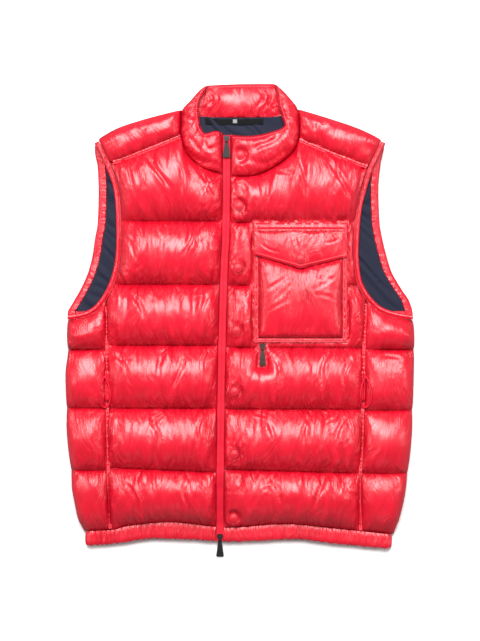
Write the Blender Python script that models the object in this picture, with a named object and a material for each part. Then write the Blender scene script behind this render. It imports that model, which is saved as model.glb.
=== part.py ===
"""A down-filled vest, laid flat on its back with its zip closed.

X runs across (the wearer's left is +X), Y up the garment, Z up from the surface it lies on. The origin
is on that surface, under the middle of the vest. Every length below is in millimetres, and MM turns it
into Blender's metres.

The back lies flat on the surface and the fronts lie on the back, at the height that parting() gives. A
cloth piece is a padded wall: an outer skin that puffs up between the quilting seams, over a plain inside.
"""

import functools
import math

import bmesh
import bpy
import numpy as np
from mathutils import Vector
from mathutils.bvhtree import BVHTree

MM = 0.001

# ---------------------------------------------------------------- driving sizes

SEAM_GAP = 0.36           # between two pieces that are sewn together
HIDDEN_GAP = 0.6          # the same where seams meet out of sight
LAYER_GAP = 0.8           # from the parting height to the layer above it, and to the layer below it
BODY_PARTING = 22.0       # height at which the fronts lie on the back
HEM_PARTING = 7.0         # the same at the hem, where the garment is thin
PARTING_SLOPE = (-236.0, -318.0)   # where the parting height goes from one to the other

SEAM_RISE = 5.0           # wall thickness at a quilting seam
FRONT_PUFF = 26.0         # what a baffle of the fronts adds to it
SIDE_PUFF = 22.0          # what a baffle of a side panel adds to it
UNDER_GROOVE = 6.0        # depth of the quilting seams on the underside
GROOVE_REACH = 0.09       # how far that groove reaches, as a share of the baffle's height
ARMHOLE_FILL = 0.03       # a side panel is already filled this much at the armhole's binding
GATHER_PITCH = 23.0       # of the larger gathers along the quilting seams
GATHER_DEPTH = 6.0

ZIP_WIDTH = 12.4
ZIP_RISE = 6.0
BINDING_WIDTH = 8.0       # of the bound edge of a front armhole
BINDING_RISE = 8.5
FACING_WIDTH = 13.0       # of the padded edge round the back of an armhole
SNAP_WIDTH = 14.0
SNAP_SEAT = 12.0          # wall thickness under a snap
WELT_ENDS = (-78.0, -124.0)        # height of a hand pocket's opening
WELT_WIDTH = 6.2
LOOP_TOP = -86.5          # where a hand pocket's loop of cord hangs from the seam
LOOP_LENGTH = 48.0
LOOP_WIDTH = 20.4
CORD_WIDTH = 3.0
LINING_THICKNESS = 1.0
HEM_GATHERS = 21          # on each front half of the hem band
HEM_THICKNESS = 9.0       # of its front layer

# ---------------------------------------------------------------- outlines
# A right and a left value are the wearer's own, so the right one has a negative x.

# height up the garment, side outline: from the shoulder tip down the back of the armhole, then the side fold
SIDES = (
    # y, right, left
    (276.0, -226.3, 226.3), (263.0, -226.0, 223.2), (239.0, -221.6, 218.4), (202.0, -220.1, 215.5),
    (152.0, -221.7, 217.4), (127.0, -226.0, 221.7), (102.0, -229.6, 227.9), (77.0, -236.0, 235.6),
    (52.0, -246.7, 249.6), (28.0, -260.2, 264.6), (11.0, -268.6, 268.9), (-48.0, -268.4, 271.2),
    (-85.0, -271.0, 269.8), (-160.0, -269.6, 268.0), (-184.0, -268.0, 266.4), (-232.0, -263.4, 262.0),
    (-258.0, -261.6, 258.6), (-283.0, -257.0, 254.0), (-308.0, -252.4, 248.2), (-327.0, -244.6, 242.0),
    (-352.0, -241.0, 236.0),
)

# outer edge of the front armhole, from the shoulder tip down to the underarm corner
ARMHOLES = {
    "right": ((-226.3, 276.0), (-214.4, 251.0), (-205.4, 231.0), (-196.4, 204.6), (-192.6, 166.0),
              (-192.4, 115.0), (-195.4, 85.0), (-202.8, 59.0), (-213.8, 37.5), (-227.6, 21.0), (-245.0, 12.4),
              (-268.0, 8.6)),
    "left": ((226.3, 276.0), (214.4, 251.0), (205.0, 231.0), (196.8, 204.6), (187.9, 166.0), (184.2, 115.0),
             (185.2, 85.0), (190.0, 59.0), (202.4, 37.5), (219.6, 21.0), (243.0, 12.6), (268.4, 8.6)),
}

# upper edge of a front: the yoke seam up to its corner at the neck, then down the neck seam to the zip
YOKE_SEAMS = {
    "right": ((-198.4, 244.9), (-170.0, 255.0), (-130.0, 270.5), (-91.4, 286.8)),
    "left": ((198.4, 238.4), (170.0, 249.0), (130.0, 264.5), (90.6, 281.0)),
}
NECK_SEAMS = {
    "right": ((-91.4, 286.8), (-85.3, 265.0), (-74.4, 249.6), (-55.8, 236.0), (-27.2, 227.0)),
    "left": ((90.6, 281.0), (82.6, 262.0), (59.4, 241.8), (31.0, 227.4), (7.8, 223.6), (-14.4, 224.6)),
}
SHOULDERS = {
    "right": ((-226.3, 276.0), (-209.3, 288.3), (-184.5, 300.7), (-145.7, 313.1), (-99.2, 325.0),
              (-89.9, 326.0)),
    "left": ((226.3, 276.0), (205.0, 288.3), (176.7, 300.7), (139.5, 313.1), (99.0, 325.4), (89.9, 327.0)),
}

# the collar: inner edge of each front half from the top corner to the zip, and its outline from there to
# the neck seam
COLLAR_INNER = {
    "right": ((-49.0, 365.0), (-56.0, 353.4), (-62.5, 335.6), (-63.0, 318.5), (-61.2, 303.0), (-54.5, 291.0),
              (-43.0, 293.6), (-33.5, 294.0), (-27.2, 290.4)),
    "left": ((52.7, 366.4), (57.6, 353.4), (59.0, 333.3), (64.3, 316.2), (66.8, 300.4), (43.4, 291.4),
             (20.2, 286.8), (2.0, 286.6), (-14.4, 288.4)),
}
COLLAR_OUTLINE = {
    "right": ((-58.6, 361.6), (-76.0, 341.8), (-89.9, 326.0), (-91.6, 304.0)),
    "left": ((60.6, 363.4), (80.0, 341.8), (89.9, 327.0), (92.0, 303.0)),
}
COLLAR_TOP = ((-49.0, 366.4), (0.0, 368.2), (52.7, 368.6))
BACK_NECK = ((-89.9, 326.0), (-62.0, 317.4), (0.0, 315.2), (62.0, 317.6), (89.9, 327.0))

# quilting seams: their height on each panel, where a front's seam may slope from its side to the zip
QUILTING = (
    # right side, right front at side, right front at zip, left front at zip, left front at side, left side
    (None, 154.2, 154.2, 151.9, 151.9, None),
    (None, 55.8, 55.8, 54.3, 54.3, None),
    (-45.0, -38.8, -38.8, -42.0, -43.0, -45.0),
    (-136.0, -136.4, -136.4, -137.2, -138.0, -139.5),
    (-232.5, -228.0, -235.6, -231.0, -237.0, -237.2),
)

BACK_SEAMS = (154.2, 55.8, -45.0, -137.0, -235.0)

# hem band: its upper and its lower edge across the front
HEM_TOP = ((-243.0, -328.0), (-198.0, -325.5), (-175.0, -319.5), (-110.0, -313.6), (-37.0, -321.0),
           (-23.0, -322.4), (68.0, -316.4), (147.0, -323.4), (239.0, -333.0))
HEM_FOOT = ((-243.0, -351.6), (-204.0, -348.8), (-129.0, -339.8), (-39.0, -343.8), (-23.0, -345.0),
            (88.0, -341.2), (147.0, -348.0), (239.0, -356.4))

# middle of the zip
ZIP_LINE = ((-352.0, -31.2), (-341.0, -31.2), (-124.0, -29.5), (90.0, -24.4), (129.0, -22.2), (248.0, -20.8),
            (300.0, -20.8))
# seam between a front and its side panel, (y, x)
SIDE_SEAMS = {
    "right": ((-340.0, -201.5), (-244.0, -204.0), (-160.0, -205.2), (60.0, -207.0)),
    "left": ((-340.0, 188.5), (-265.0, 185.2), (-197.0, 188.6), (-128.0, 190.6), (-40.0, 192.2), (60.0, 196.5)),
}

SNAPS = ((0.8, 255.8), (-0.9, 176.7), (-3.1, 81.2), (-5.6, -15.5), (-8.4, -110.0), (-8.8, -206.8),
         (-9.8, -306.6))

# the zip's two pull tabs: height of their axis, length, width at the tip, and how far they droop in degrees
ZIP_PULLS = {"top": (279.5, 27.5, 11.8, 0.0), "bottom": (-339.0, 33.1, 12.0, 26.0)}

# chest pocket, on the left front
POCKET = {"left": 21.7, "right": 165.5, "foot": -34.0, "head": 151.0}
POCKET_BASE = 36.0        # height of the front where the pocket is sewn down
POCKET_FRAME = 7.0
POCKET_RISE = 2.6
BAG_PUFF = 10.5
FLAP_FOOT = ((22.6, 101.2), (93.6, 80.6), (164.6, 98.0))
FLAP_THICKNESS = 3.2
FLAP_SNAP = (93.6, 94.9)
POCKET_PULL = (34.9, -42.5)

SIGN = {"right": -1.0, "left": 1.0}


# ---------------------------------------------------------------- small tools

def table(rows, column, key=0):
    """Reads a table as a smooth function: cubic between its rows, with slopes that never overshoot."""
    rows = sorted((row[key], row[column]) for row in rows)
    xs = np.array([row[0] for row in rows])
    ys = np.array([row[1] for row in rows])
    steps = np.diff(xs)
    rates = np.diff(ys) / steps
    slopes = np.concatenate([rates[:1], np.zeros(len(xs) - 2), rates[-1:]])
    same = rates[:-1] * rates[1:] > 0
    slopes[1:-1][same] = (2 * rates[:-1] * rates[1:] / (rates[:-1] + rates[1:] + 1e-12))[same]

    def read(x):
        x = np.clip(x, xs[0], xs[-1])
        k = np.clip(np.searchsorted(xs, x) - 1, 0, len(xs) - 2)
        h = steps[k]
        t = (x - xs[k]) / h
        return ((1 + 2 * t) * (1 - t) ** 2 * ys[k] + t * (1 - t) ** 2 * h * slopes[k]
                + t * t * (3 - 2 * t) * ys[k + 1] + t * t * (t - 1) * h * slopes[k + 1])

    return read


def curve(points, count):
    """A smooth line of count points through the given ones, evenly spaced (a Catmull-Rom curve)."""
    p = np.array(points, float)
    ends = np.vstack([2 * p[0] - p[1], p, 2 * p[-1] - p[-2]])
    dense = []
    for k in range(len(p) - 1):
        a, b, c, d = ends[k:k + 4]
        t = np.linspace(0, 1, 24, endpoint=False)[:, None]
        dense.append(0.5 * (2 * b + (c - a) * t + (2 * a - 5 * b + 4 * c - d) * t ** 2
                            + (3 * b - a - 3 * c + d) * t ** 3))
    dense = np.vstack(dense + [p[-1:]])
    return spread(dense, np.linspace(0, 1, count))


def spread(line, shares):
    """Points of a line at the given shares of its length."""
    run = np.concatenate([[0], np.cumsum(np.hypot(*np.diff(line, axis=0).T))])
    at = np.asarray(shares) * run[-1]
    return np.column_stack([np.interp(at, run, line[:, 0]), np.interp(at, run, line[:, 1])])


def beside(line, distance):
    """The line moved sideways, to the left of its direction for a positive distance."""
    along = np.gradient(line, axis=0)
    along /= np.hypot(along[:, 0], along[:, 1])[:, None]
    return line + distance * np.column_stack([-along[:, 1], along[:, 0]])


def patch(foot, head, start, end):
    """A grid of points between four edges (a Coons patch). foot and head run from start to end."""
    u = np.linspace(0, 1, len(foot))[None, :, None]
    v = np.linspace(0, 1, len(start))[:, None, None]
    ruled = (1 - v) * foot[None] + v * head[None] + (1 - u) * start[:, None] + u * end[:, None]
    corners = ((1 - u) * (1 - v) * foot[0] + u * (1 - v) * foot[-1] + (1 - u) * v * head[0] + u * v * head[-1])
    grid = ruled - corners
    return grid[..., 0], grid[..., 1]


def parting(y):
    """Height at which the fronts lie on the back."""
    high, low = PARTING_SLOPE
    return np.interp(y, [low, high], [HEM_PARTING, BODY_PARTING])


def vault(t):
    """Rise of a filled baffle from one quilting seam (t = 0) to the next (t = 1), 1 at its middle."""
    return np.clip(1 - np.abs(2 * np.asarray(t) - 1) ** 2.1, 0, 1) ** 0.66


def shoulder_of(distance, reach):
    """Rise of a filled wall beside its edge: 0 at the edge and 1 from reach on, round like a pillow's side."""
    left = 1 - np.clip(np.asarray(distance) / reach, 0, 1)
    return np.sqrt(1 - left ** 2)


def blend(value, low, high):
    """0 below low, 1 above high, smooth between."""
    t = np.clip((value - low) / (high - low), 0, 1)
    return t * t * (3 - 2 * t)


def groove(t):
    """Depth of a quilting seam on the underside, which is flat but for a narrow stretch beside each seam."""
    return UNDER_GROOVE * (1 - blend(np.minimum(t, 1 - t), 0.0, GROOVE_REACH))


# ---------------------------------------------------------------- materials

PAINTS = {
    # red, green, blue, roughness, metallic
    "shell": (0.72, 0.012, 0.035, 0.22, 0.0),
    "zip_tape": (0.75, 0.03, 0.05, 0.6, 0.0),
    "lining": (0.025, 0.03, 0.06, 0.7, 0.0),
    "tape": (0.012, 0.012, 0.014, 0.7, 0.0),
    "label": (0.5, 0.5, 0.5, 0.7, 0.0),
    "snap": (0.7, 0.02, 0.04, 0.35, 0.0),
    "hardware": (0.03, 0.03, 0.032, 0.4, 0.8),
    "pull": (0.06, 0.06, 0.065, 0.5, 0.3),
    "pocket_metal": (0.12, 0.1, 0.095, 0.35, 0.9),
}


def paint(name):
    material = bpy.data.materials.get(name)
    if material:
        return material
    red, green, blue, roughness, metallic = PAINTS[name]
    material = bpy.data.materials.new(name)
    material.use_nodes = True
    shader = material.node_tree.nodes["Principled BSDF"]
    shader.inputs["Base Color"].default_value = (red, green, blue, 1.0)
    shader.inputs["Roughness"].default_value = roughness
    shader.inputs["Metallic"].default_value = metallic
    return material


# ---------------------------------------------------------------- solids

def make_object(name, points, faces, colour, place=(0, 0, 0), turn=0.0, sharp=55.0):
    """A named object from points in millimetres. place is its origin and turn its rotation about X."""
    mesh = bpy.data.meshes.new(name)
    mesh.from_pydata((np.asarray(points, float) * MM).tolist(), [], faces)
    work = bmesh.new()
    work.from_mesh(mesh)
    bmesh.ops.recalc_face_normals(work, faces=work.faces)
    work.to_mesh(mesh)
    work.free()
    mesh.shade_smooth()
    mesh.set_sharp_from_angle(angle=math.radians(sharp))
    mesh.materials.append(paint(colour))
    made = bpy.data.objects.new(name, mesh)
    bpy.context.scene.collection.objects.link(made)
    made.location = Vector(place) * MM
    made.rotation_euler = (turn, 0, 0)
    return made


def border(rows, cols):
    """The places on a grid's border, in order round it."""
    return ([(0, j) for j in range(cols)] + [(i, cols - 1) for i in range(1, rows)]
            + [(rows - 1, j) for j in range(cols - 2, -1, -1)] + [(i, 0) for i in range(rows - 2, 0, -1)])


def drawn_in(x, y, gap):
    """The grid with its border points moved inwards by gap."""
    ring = border(*x.shape)
    line = np.array([(x[k], y[k]) for k in ring])
    area = np.sum(line[:, 0] * np.roll(line[:, 1], -1) - line[:, 1] * np.roll(line[:, 0], -1))
    before, after = line - np.roll(line, 1, axis=0), np.roll(line, -1, axis=0) - line
    sides = [np.column_stack([-d[:, 1], d[:, 0]]) / np.hypot(d[:, 0], d[:, 1])[:, None] for d in (before, after)]
    inward = (sides[0] + sides[1]) * np.sign(area)
    inward *= (2 / np.maximum(np.sum(inward ** 2, axis=1), 0.6))[:, None]
    x, y = x.copy(), y.copy()
    for (i, j), move in zip(ring, inward):
        x[i, j] += gap * move[0]
        y[i, j] += gap * move[1]
    return x, y


def padded_wall(name, x, y, top, bottom, colour="shell", plain="bottom", spans=5, gap=SEAM_GAP / 2):
    """A closed wall over a grid in plan, from bottom up to top. Its plain face keeps only a few columns."""
    x, y = drawn_in(x, y, gap)
    rows, cols = x.shape
    top = np.broadcast_to(top, x.shape)
    bottom = np.broadcast_to(bottom, x.shape)
    full_z, plain_z = (top, bottom) if plain == "bottom" else (bottom, top)
    points = [(x[i, j], y[i, j], full_z[i, j]) for i in range(rows) for j in range(cols)]
    full = np.arange(rows * cols).reshape(rows, cols)
    kept = sorted(set(np.linspace(0, cols - 1, min(spans, cols - 1) + 1).round().astype(int)))
    other = -np.ones((rows, cols), int)
    for i in range(rows):
        for j in range(cols):
            if i in (0, rows - 1) or j in kept:
                other[i, j] = len(points)
                points.append((x[i, j], y[i, j], plain_z[i, j]))
    faces = [(full[i, j], full[i, j + 1], full[i + 1, j + 1], full[i + 1, j])
             for i in range(rows - 1) for j in range(cols - 1)]
    for i in range(rows - 1):
        for a, b in zip(kept[:-1], kept[1:]):
            if i == 0 and rows > 2:
                faces += [(other[1, a], other[0, k], other[0, k + 1]) for k in range(a, b)]
                faces.append((other[1, a], other[0, b], other[1, b]))
            elif i == rows - 2 and rows > 2:
                faces += [(other[i, a], other[i + 1, k], other[i + 1, k + 1]) for k in range(a, b)]
                faces.append((other[i, a], other[i + 1, b], other[i, b]))
            elif rows > 2:
                faces.append((other[i, a], other[i, b], other[i + 1, b], other[i + 1, a]))
    if rows == 2:
        faces += [(other[0, k], other[0, k + 1], other[1, k + 1], other[1, k]) for k in range(cols - 1)]
    ring = border(rows, cols)
    for a, b in zip(ring, ring[1:] + ring[:1]):
        faces.append((full[a], full[b], other[b], other[a]))
    return make_object(name, points, [tuple(int(k) for k in face) for face in faces], colour)


def sweep(name, rings, colour, closed=False, caps=None, **more):
    """A closed solid through rings of equal count. Its ends are joined, or closed by a face or the given caps."""
    rings = np.asarray(rings, float)
    count, around = rings.shape[:2]
    faces = []
    for i in range(count if closed else count - 1):
        a, b = i * around, (i + 1) % count * around
        faces += [(a + k, a + (k + 1) % around, b + (k + 1) % around, b + k) for k in range(around)]
    if not closed:
        for start in (0, (count - 1) * around):
            faces += [tuple(start + k for k in cap) for cap in (caps or [range(around)])]
    return make_object(name, rings.reshape(-1, 3), faces, colour, **more)


def extruded(name, outline, low, high, colour, **more):
    """A flat plate: an outline in plan between two heights."""
    rings = [[(px, py, z) for px, py in outline] for z in (low, high)]
    return sweep(name, rings, colour, **more)


@functools.lru_cache(maxsize=None)
def tree_of(name):
    """A search tree of an object's faces. A four-sided face counts as folded along either of its diagonals."""
    mesh = bpy.data.objects[name].data
    faces = []
    for corners in (tuple(polygon.vertices) for polygon in mesh.polygons):
        if len(corners) == 4:
            a, b, c, d = corners
            faces += [(a, b, c), (a, c, d), (a, b, d), (b, c, d)]
        else:
            faces.append(corners)
    return BVHTree.FromPolygons([v.co.copy() for v in mesh.vertices], faces)


def surface_under(pieces, x, y, reach, count=24):
    """The highest point of the pieces within reach of a place, looked for straight down."""
    best = -1.0
    above = 200.0
    for piece in pieces:
        for radius in (0, 0.35 * reach, 0.7 * reach, reach):
            for angle in np.linspace(0, 2 * math.pi, count, endpoint=False):
                start = Vector((x + radius * math.cos(angle), y + radius * math.sin(angle), above)) * MM
                hit = tree_of(piece.name).ray_cast(start, Vector((0, 0, -1)))[0]
                if hit is not None:
                    best = max(best, hit.z / MM)
    return best


# ---------------------------------------------------------------- fronts

zip_middle = table(ZIP_LINE, 1)
hem_top = table(HEM_TOP, 1)
hem_foot = table(HEM_FOOT, 1)
side_outline = {"right": table(SIDES, 1), "left": table(SIDES, 2)}
side_seam = {side: table(SIDE_SEAMS[side], 1) for side in SIGN}


def armhole_edge(side, count=90):
    return curve(ARMHOLES[side], count)


def binding_inside(side, count=90):
    """The line where the armhole's binding is sewn to the front, the yoke and the side panel."""
    return beside(armhole_edge(side, count), -SIGN[side] * BINDING_WIDTH)


def front_side_x(side, y):
    """Outer edge of a front: the inside of the armhole's binding, then the seam of the side panel."""
    line = binding_inside(side)[::-1]
    armhole = np.interp(y, line[:, 1], line[:, 0])
    seam = side_seam[side](y)
    return np.maximum(armhole + 0.3, seam) if side == "right" else np.minimum(armhole - 0.3, seam)


def front_zip_x(side, y):
    return zip_middle(y) + SIGN[side] * ZIP_WIDTH / 2


def collar_seam(side, count=200):
    """Lower outline of a collar half: from its top corner, past shoulder and yoke corner, to the zip."""
    return curve(COLLAR_OUTLINE[side] + NECK_SEAMS[side], count)


def front_top_y(side, x):
    """Upper edge of a front: the yoke seam, then the neck seam."""
    yoke = np.array(YOKE_SEAMS[side])
    seam = collar_seam(side)
    neck = seam[(seam[:, 1] < yoke[-1, 1] - 1.0) & (seam[:, 0] * SIGN[side] < yoke[-1, 0] * SIGN[side])]
    line = np.vstack([yoke, neck])
    if side == "left":
        line = line[::-1]
    return np.interp(x, line[:, 0], line[:, 1])


def quilting_y(side, seam, share):
    """Height of a front's quilting seam at a share of the way from its side to the zip."""
    at_side, at_zip = QUILTING[seam][1:3] if side == "right" else QUILTING[seam][4:2:-1]
    return at_side + (at_zip - at_side) * share


def seated(height, x, y):
    """The wall's height with a hollow round each snap, level where the snap sits."""
    for px, py in SNAPS:
        pressed = 1 - blend(np.hypot(x - px, y - py), 8.0, 25.0)
        height = height * (1 - pressed) + SNAP_SEAT * pressed
    return height


def pocket_flat(x, y):
    """1 where the chest pocket and its pull hold the left front flat, 0 away from them."""
    moat, reach = 7.0, 15.0
    away_x = np.maximum(POCKET["left"] - x, x - POCKET["right"])
    away_y = np.maximum(POCKET["foot"] - y, y - POCKET["head"])
    around_pocket = 1 - blend(np.maximum(away_x, away_y), moat, moat + reach)
    pull_x, pull_y = POCKET_PULL
    away = np.maximum(np.abs(x - pull_x) - 8, np.maximum(pull_y - 32 - y, y - pull_y - 20))
    return np.maximum(around_pocket, 1 - blend(away, moat, moat + reach))


def front_height(side, x, y, share, t, seam):
    """Thickness of a front: share is the way from its side to the zip, t the way down the baffle below seam."""
    width = np.abs(front_side_x(side, y) - front_zip_x(side, y))
    rise = (shoulder_of(share * width, 34) * shoulder_of((1 - share) * width, 24) * vault(t))
    wave = np.sin(2 * math.pi * x / GATHER_PITCH + 1.9 * seam) * np.sin(0.037 * x + 0.8 * seam + 1.0)
    near_seam = np.exp(-np.minimum(t, 1 - t) / 0.16) - np.exp(-np.minimum(t, 1 - t) / 0.05)
    height = SEAM_RISE + FRONT_PUFF * rise + GATHER_DEPTH * wave * near_seam * rise ** 0.5
    if side == "left":
        height = np.minimum(height, seated(height, x, y))
        flat = pocket_flat(x, y)
        base = POCKET_BASE - BODY_PARTING - LAYER_GAP
        height = height * (1 - flat) + base * flat
    return height


def front_columns(side, count):
    """Shares of the way from the side to the zip, closer together at both edges, with one at the yoke's corner."""
    corner = YOKE_SEAMS[side][-1]
    outer, inner = front_side_x(side, corner[1]), front_zip_x(side, corner[1])
    turn = (corner[0] - outer) / (inner - outer)
    even = 0.5 - 0.5 * np.cos(np.linspace(0, math.pi, count))
    shares = 0.55 * np.linspace(0, 1, count) + 0.45 * even
    nearest = np.argmin(np.abs(shares - turn))
    shares[nearest] = turn
    return shares


BAFFLE_ROWS = (0.0, 0.07, 0.24, 0.5, 0.76, 0.93)


def make_front(side, columns):
    shares = front_columns(side, columns)
    xs, ys, tops, bottoms = [], [], [], []
    for seam in range(-1, len(QUILTING)):
        for t in BAFFLE_ROWS + ((1.0,) if seam == len(QUILTING) - 1 else ()):
            y = np.full(shares.shape, 200.0)
            for _ in range(12):
                x = front_side_x(side, y) * (1 - shares) + front_zip_x(side, y) * shares
                head = front_top_y(side, x) if seam < 0 else quilting_y(side, seam, shares)
                foot = hem_top(x) if seam == len(QUILTING) - 1 else quilting_y(side, seam + 1, shares)
                y = head + (foot - head) * t
            low = parting(y) + LAYER_GAP
            xs.append(x)
            ys.append(y)
            bottoms.append(low)
            tops.append(low + front_height(side, x, y, shares, t, seam))
    front = padded_wall(f"front_{side}", np.array(xs), np.array(ys), np.array(tops), np.array(bottoms), spans=5)
    return front, np.column_stack([xs[0], ys[0]])


# ---------------------------------------------------------------- yokes, bindings and facings

def make_yoke(side):
    """The shoulder piece, from the yoke seam up to the shoulder line."""
    columns, rows = 13, 7
    line = binding_inside(side, 240)
    seam_end, corner = np.array(YOKE_SEAMS[side][0]), np.array(YOKE_SEAMS[side][-1])
    start = line[line[:, 1] > seam_end[1]][::-1]
    start = spread(np.vstack([seam_end, start]), np.linspace(0, 1, rows))
    foot = spread(np.array(YOKE_SEAMS[side]), np.linspace(0, 1, columns))
    shoulder = curve(SHOULDERS[side], 120)
    beyond = SIGN[side] * (shoulder[:, 0] - start[-1, 0]) < 0
    head = spread(np.vstack([start[-1], shoulder[beyond]]), np.linspace(0, 1, columns))
    seam = collar_seam(side)[::-1]
    beside_yoke = seam[(seam[:, 1] > corner[1] + 1.0) & (seam[:, 1] < head[-1, 1] - 1.0)]
    end = spread(np.vstack([corner, beside_yoke, head[-1]]), np.linspace(0, 1, rows))
    x, y = patch(foot, head, start, end)
    v = np.linspace(0, 1, rows)[:, None]
    u = np.linspace(0, 1, columns)[None, :]
    rise = shoulder_of(v, 0.45) * shoulder_of(1 - v, 0.34) ** 1.2 * shoulder_of(u, 0.2) * shoulder_of(1 - u, 0.12)
    low = BODY_PARTING + LAYER_GAP
    return padded_wall(f"yoke_{side}", x, y, low + 4.5 + 17.0 * rise, low, spans=4)


def edge_ring(outer, inner, low, profile):
    """One ring of a strip: profile gives (share of the way from the outer to the inner side, height above low)."""
    return [(*(outer + (inner - outer) * share), low + rise) for share, rise in profile]


def make_binding(side):
    """The bound edge of the front armhole, from the shoulder tip to the underarm corner."""
    count = 30
    shares = np.linspace(0.004, 0.996, count)
    outer = spread(armhole_edge(side), shares)
    inner = spread(binding_inside(side), shares)
    profile = ((0.0, 0.0), (-0.02, 0.5 * BINDING_RISE), (0.22, 0.9 * BINDING_RISE), (0.6, BINDING_RISE),
               (0.955, 0.72 * BINDING_RISE), (0.955, 0.0))
    low = BODY_PARTING + LAYER_GAP
    return sweep(f"armhole_binding_{side}", [edge_ring(a, b, low, profile) for a, b in zip(outer, inner)], "shell")


def make_facing(side, back_edge):
    """The padded edge round the back of the armhole, which shows beyond the front. back_edge is the back's."""
    shared = back_edge[(back_edge[:, 1] < 262.0) & (back_edge[:, 1] > 2.5), 1]
    heights = np.sort(np.concatenate([[272.0, 1.8], shared, (shared[1:] + shared[:-1]) / 2]))
    outer = np.column_stack([side_outline[side](heights), heights])
    inner = np.column_stack([np.interp(heights, back_edge[::-1, 1], back_edge[::-1, 0]), heights])
    inner[:, 0] += SIGN[side] * SEAM_GAP / 2
    thick = BODY_PARTING - LAYER_GAP
    profile = ((0.28, 0.0), (0.0, 0.34 * thick), (0.03, 0.7 * thick), (0.3, thick), (1.0, thick), (1.0, 0.0))
    return sweep(f"armhole_facing_{side}", [edge_ring(a, b, 0.0, profile) for a, b in zip(outer, inner)], "shell")


# ---------------------------------------------------------------- side panels

def side_seam_reach(y):
    """How far under the garment a side panel goes, from the side fold to the seam with the back."""
    return np.interp(y, [-70.0, 3.0], [34.0, FACING_WIDTH])


SIDE_ROWS = (0.0, 0.09, 0.3, 0.5, 0.7, 0.91)


def make_side_panel(side, back_edge):
    """The panel from the front-side seam over the side fold to the seam underneath: one wall bent round the fold."""
    sign = SIGN[side]
    top_line = binding_inside(side)
    if side == "right":
        top_line = top_line[::-1]
    under = top_line[:, 1] < 70.0
    top_x, top_y = top_line[under, 0], top_line[under, 1]
    seams = [row[0 if side == "right" else 5] for row in QUILTING if row[0] is not None]
    rings = []
    for number in range(len(seams) + 1):
        for t in SIDE_ROWS + ((1.0,) if number == len(seams) else ()):

            def height_of(x):
                head = np.interp(x, top_x, top_y) if number == 0 else seams[number - 1]
                foot = hem_top(x) if number == len(seams) else seams[number]
                return head + (foot - head) * t

            y_fold = float(height_of(side_outline[side](0.0) if number == 0 else sign * 255.0))
            fold = float(side_outline[side](y_fold)) - sign * 1.6 * (1 - vault(t))
            y_seam = float(height_of(side_seam[side](y_fold)))
            seam = float(front_side_x(side, y_seam))
            low = float(parting(y_seam)) + LAYER_GAP
            filled = max(t, ARMHOLE_FILL) if number == 0 else t
            puff = SIDE_PUFF * float(vault(filled))
            crest = seam + (fold - seam) * 0.46
            high = low + SEAM_RISE + puff
            middle = 0.55 * (low + 0.5 * puff)
            rise = float(groove(t))
            reach = sign * (fold - float(np.interp(y_fold, back_edge[::-1, 1], back_edge[::-1, 0])))
            outer = [(seam + (crest - seam) * share, high - puff * (1 - float(shoulder_of(share, 0.9))))
                     for share in (0.0, 0.18, 0.5)]
            outer += [(crest + (fold - crest) * math.cos(angle) ** 0.8,
                       middle + (high - middle) * math.sin(angle) ** 0.9) for angle in np.radians([90, 60, 35, 12])]
            slot = low - 2 * LAYER_GAP
            under = fold - sign * (reach - 1.7 * HIDDEN_GAP)
            outer += [(fold, middle), (fold - sign * 0.10 * reach, 0.35 * middle + rise * 0.5),
                      (fold - sign * 0.4 * reach, rise), (under, rise)]
            slot_end = fold - sign * min(0.6 * reach, 0.2 * abs(fold - seam))
            inner = [(under, slot), (slot_end, slot), (slot_end, low)]
            inner += [(px, low) for px, _ in outer[4::-1]]
            edge = sign * (SEAM_GAP / 2 + 0.8)
            ring = [(max(sign * px, sign * (seam + edge)) * sign, pz) for px, pz in outer + inner]
            shift = HIDDEN_GAP * ((number == 0 and t == 0.0) - (number == len(seams) and t == 1.0))
            rings.append([(px, (y_fold if 8 <= k <= 13 and number == 0 else float(height_of(px))) - shift, pz)
                          for k, (px, pz) in enumerate(ring)])
    caps = [(k, k + 1, 17 - k, 18 - k) for k in range(4)] + [(4, 5, 6, 7, 8, 9, 12, 13, 14), (9, 10, 11, 12)]
    return sweep(f"side_panel_{side}", rings, "shell", caps=caps)


# ---------------------------------------------------------------- back

def back_side_x(side, y):
    y = np.asarray(y, float)
    return side_outline[side](y) - SIGN[side] * np.where(y > 1.0, FACING_WIDTH, side_seam_reach(y))


def back_top_y(x):
    right = curve(SHOULDERS["right"], 60)
    left = curve(SHOULDERS["left"], 60)[::-1]
    line = np.vstack([right, curve(BACK_NECK, 60)[1:-1], left])
    return np.interp(x, line[:, 0], line[:, 1])


def make_back():
    """The back panel: a quilted underside that rests flat, and a plain inside that the fronts lie on."""
    columns = 14
    shares = np.linspace(0, 1, columns)
    shares[4], shares[9] = 0.29, 0.71     # at the ends of the neck seam
    rows_above, rows_below = (0.0, 0.12, 0.36, 0.64, 0.88), (0.0, 0.12, 0.5, 0.88)
    xs, ys, unders = [], [], []
    for number in range(len(BACK_SEAMS) + 1):
        last = number == len(BACK_SEAMS)
        for t in (rows_above if number < 3 else rows_below) + ((1.0,) if last else ()):
            y = np.full(columns, 150.0)
            for _ in range(12):
                x = back_side_x("right", y) * (1 - shares) + back_side_x("left", y) * shares
                head = back_top_y(x) if number == 0 else BACK_SEAMS[number - 1]
                foot = hem_top(x) if last else BACK_SEAMS[number]
                y = np.broadcast_to(head + (foot - head) * t, shares.shape)
            xs.append(x)
            ys.append(y)
            unders.append(groove(t) * parting(y) / BODY_PARTING)
    x, y, under = np.array(xs), np.array(ys), np.array(unders)
    padded_wall("back", x, y, parting(y) - LAYER_GAP, under, plain="top", spans=5)
    return x, y


# ---------------------------------------------------------------- collar

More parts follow.
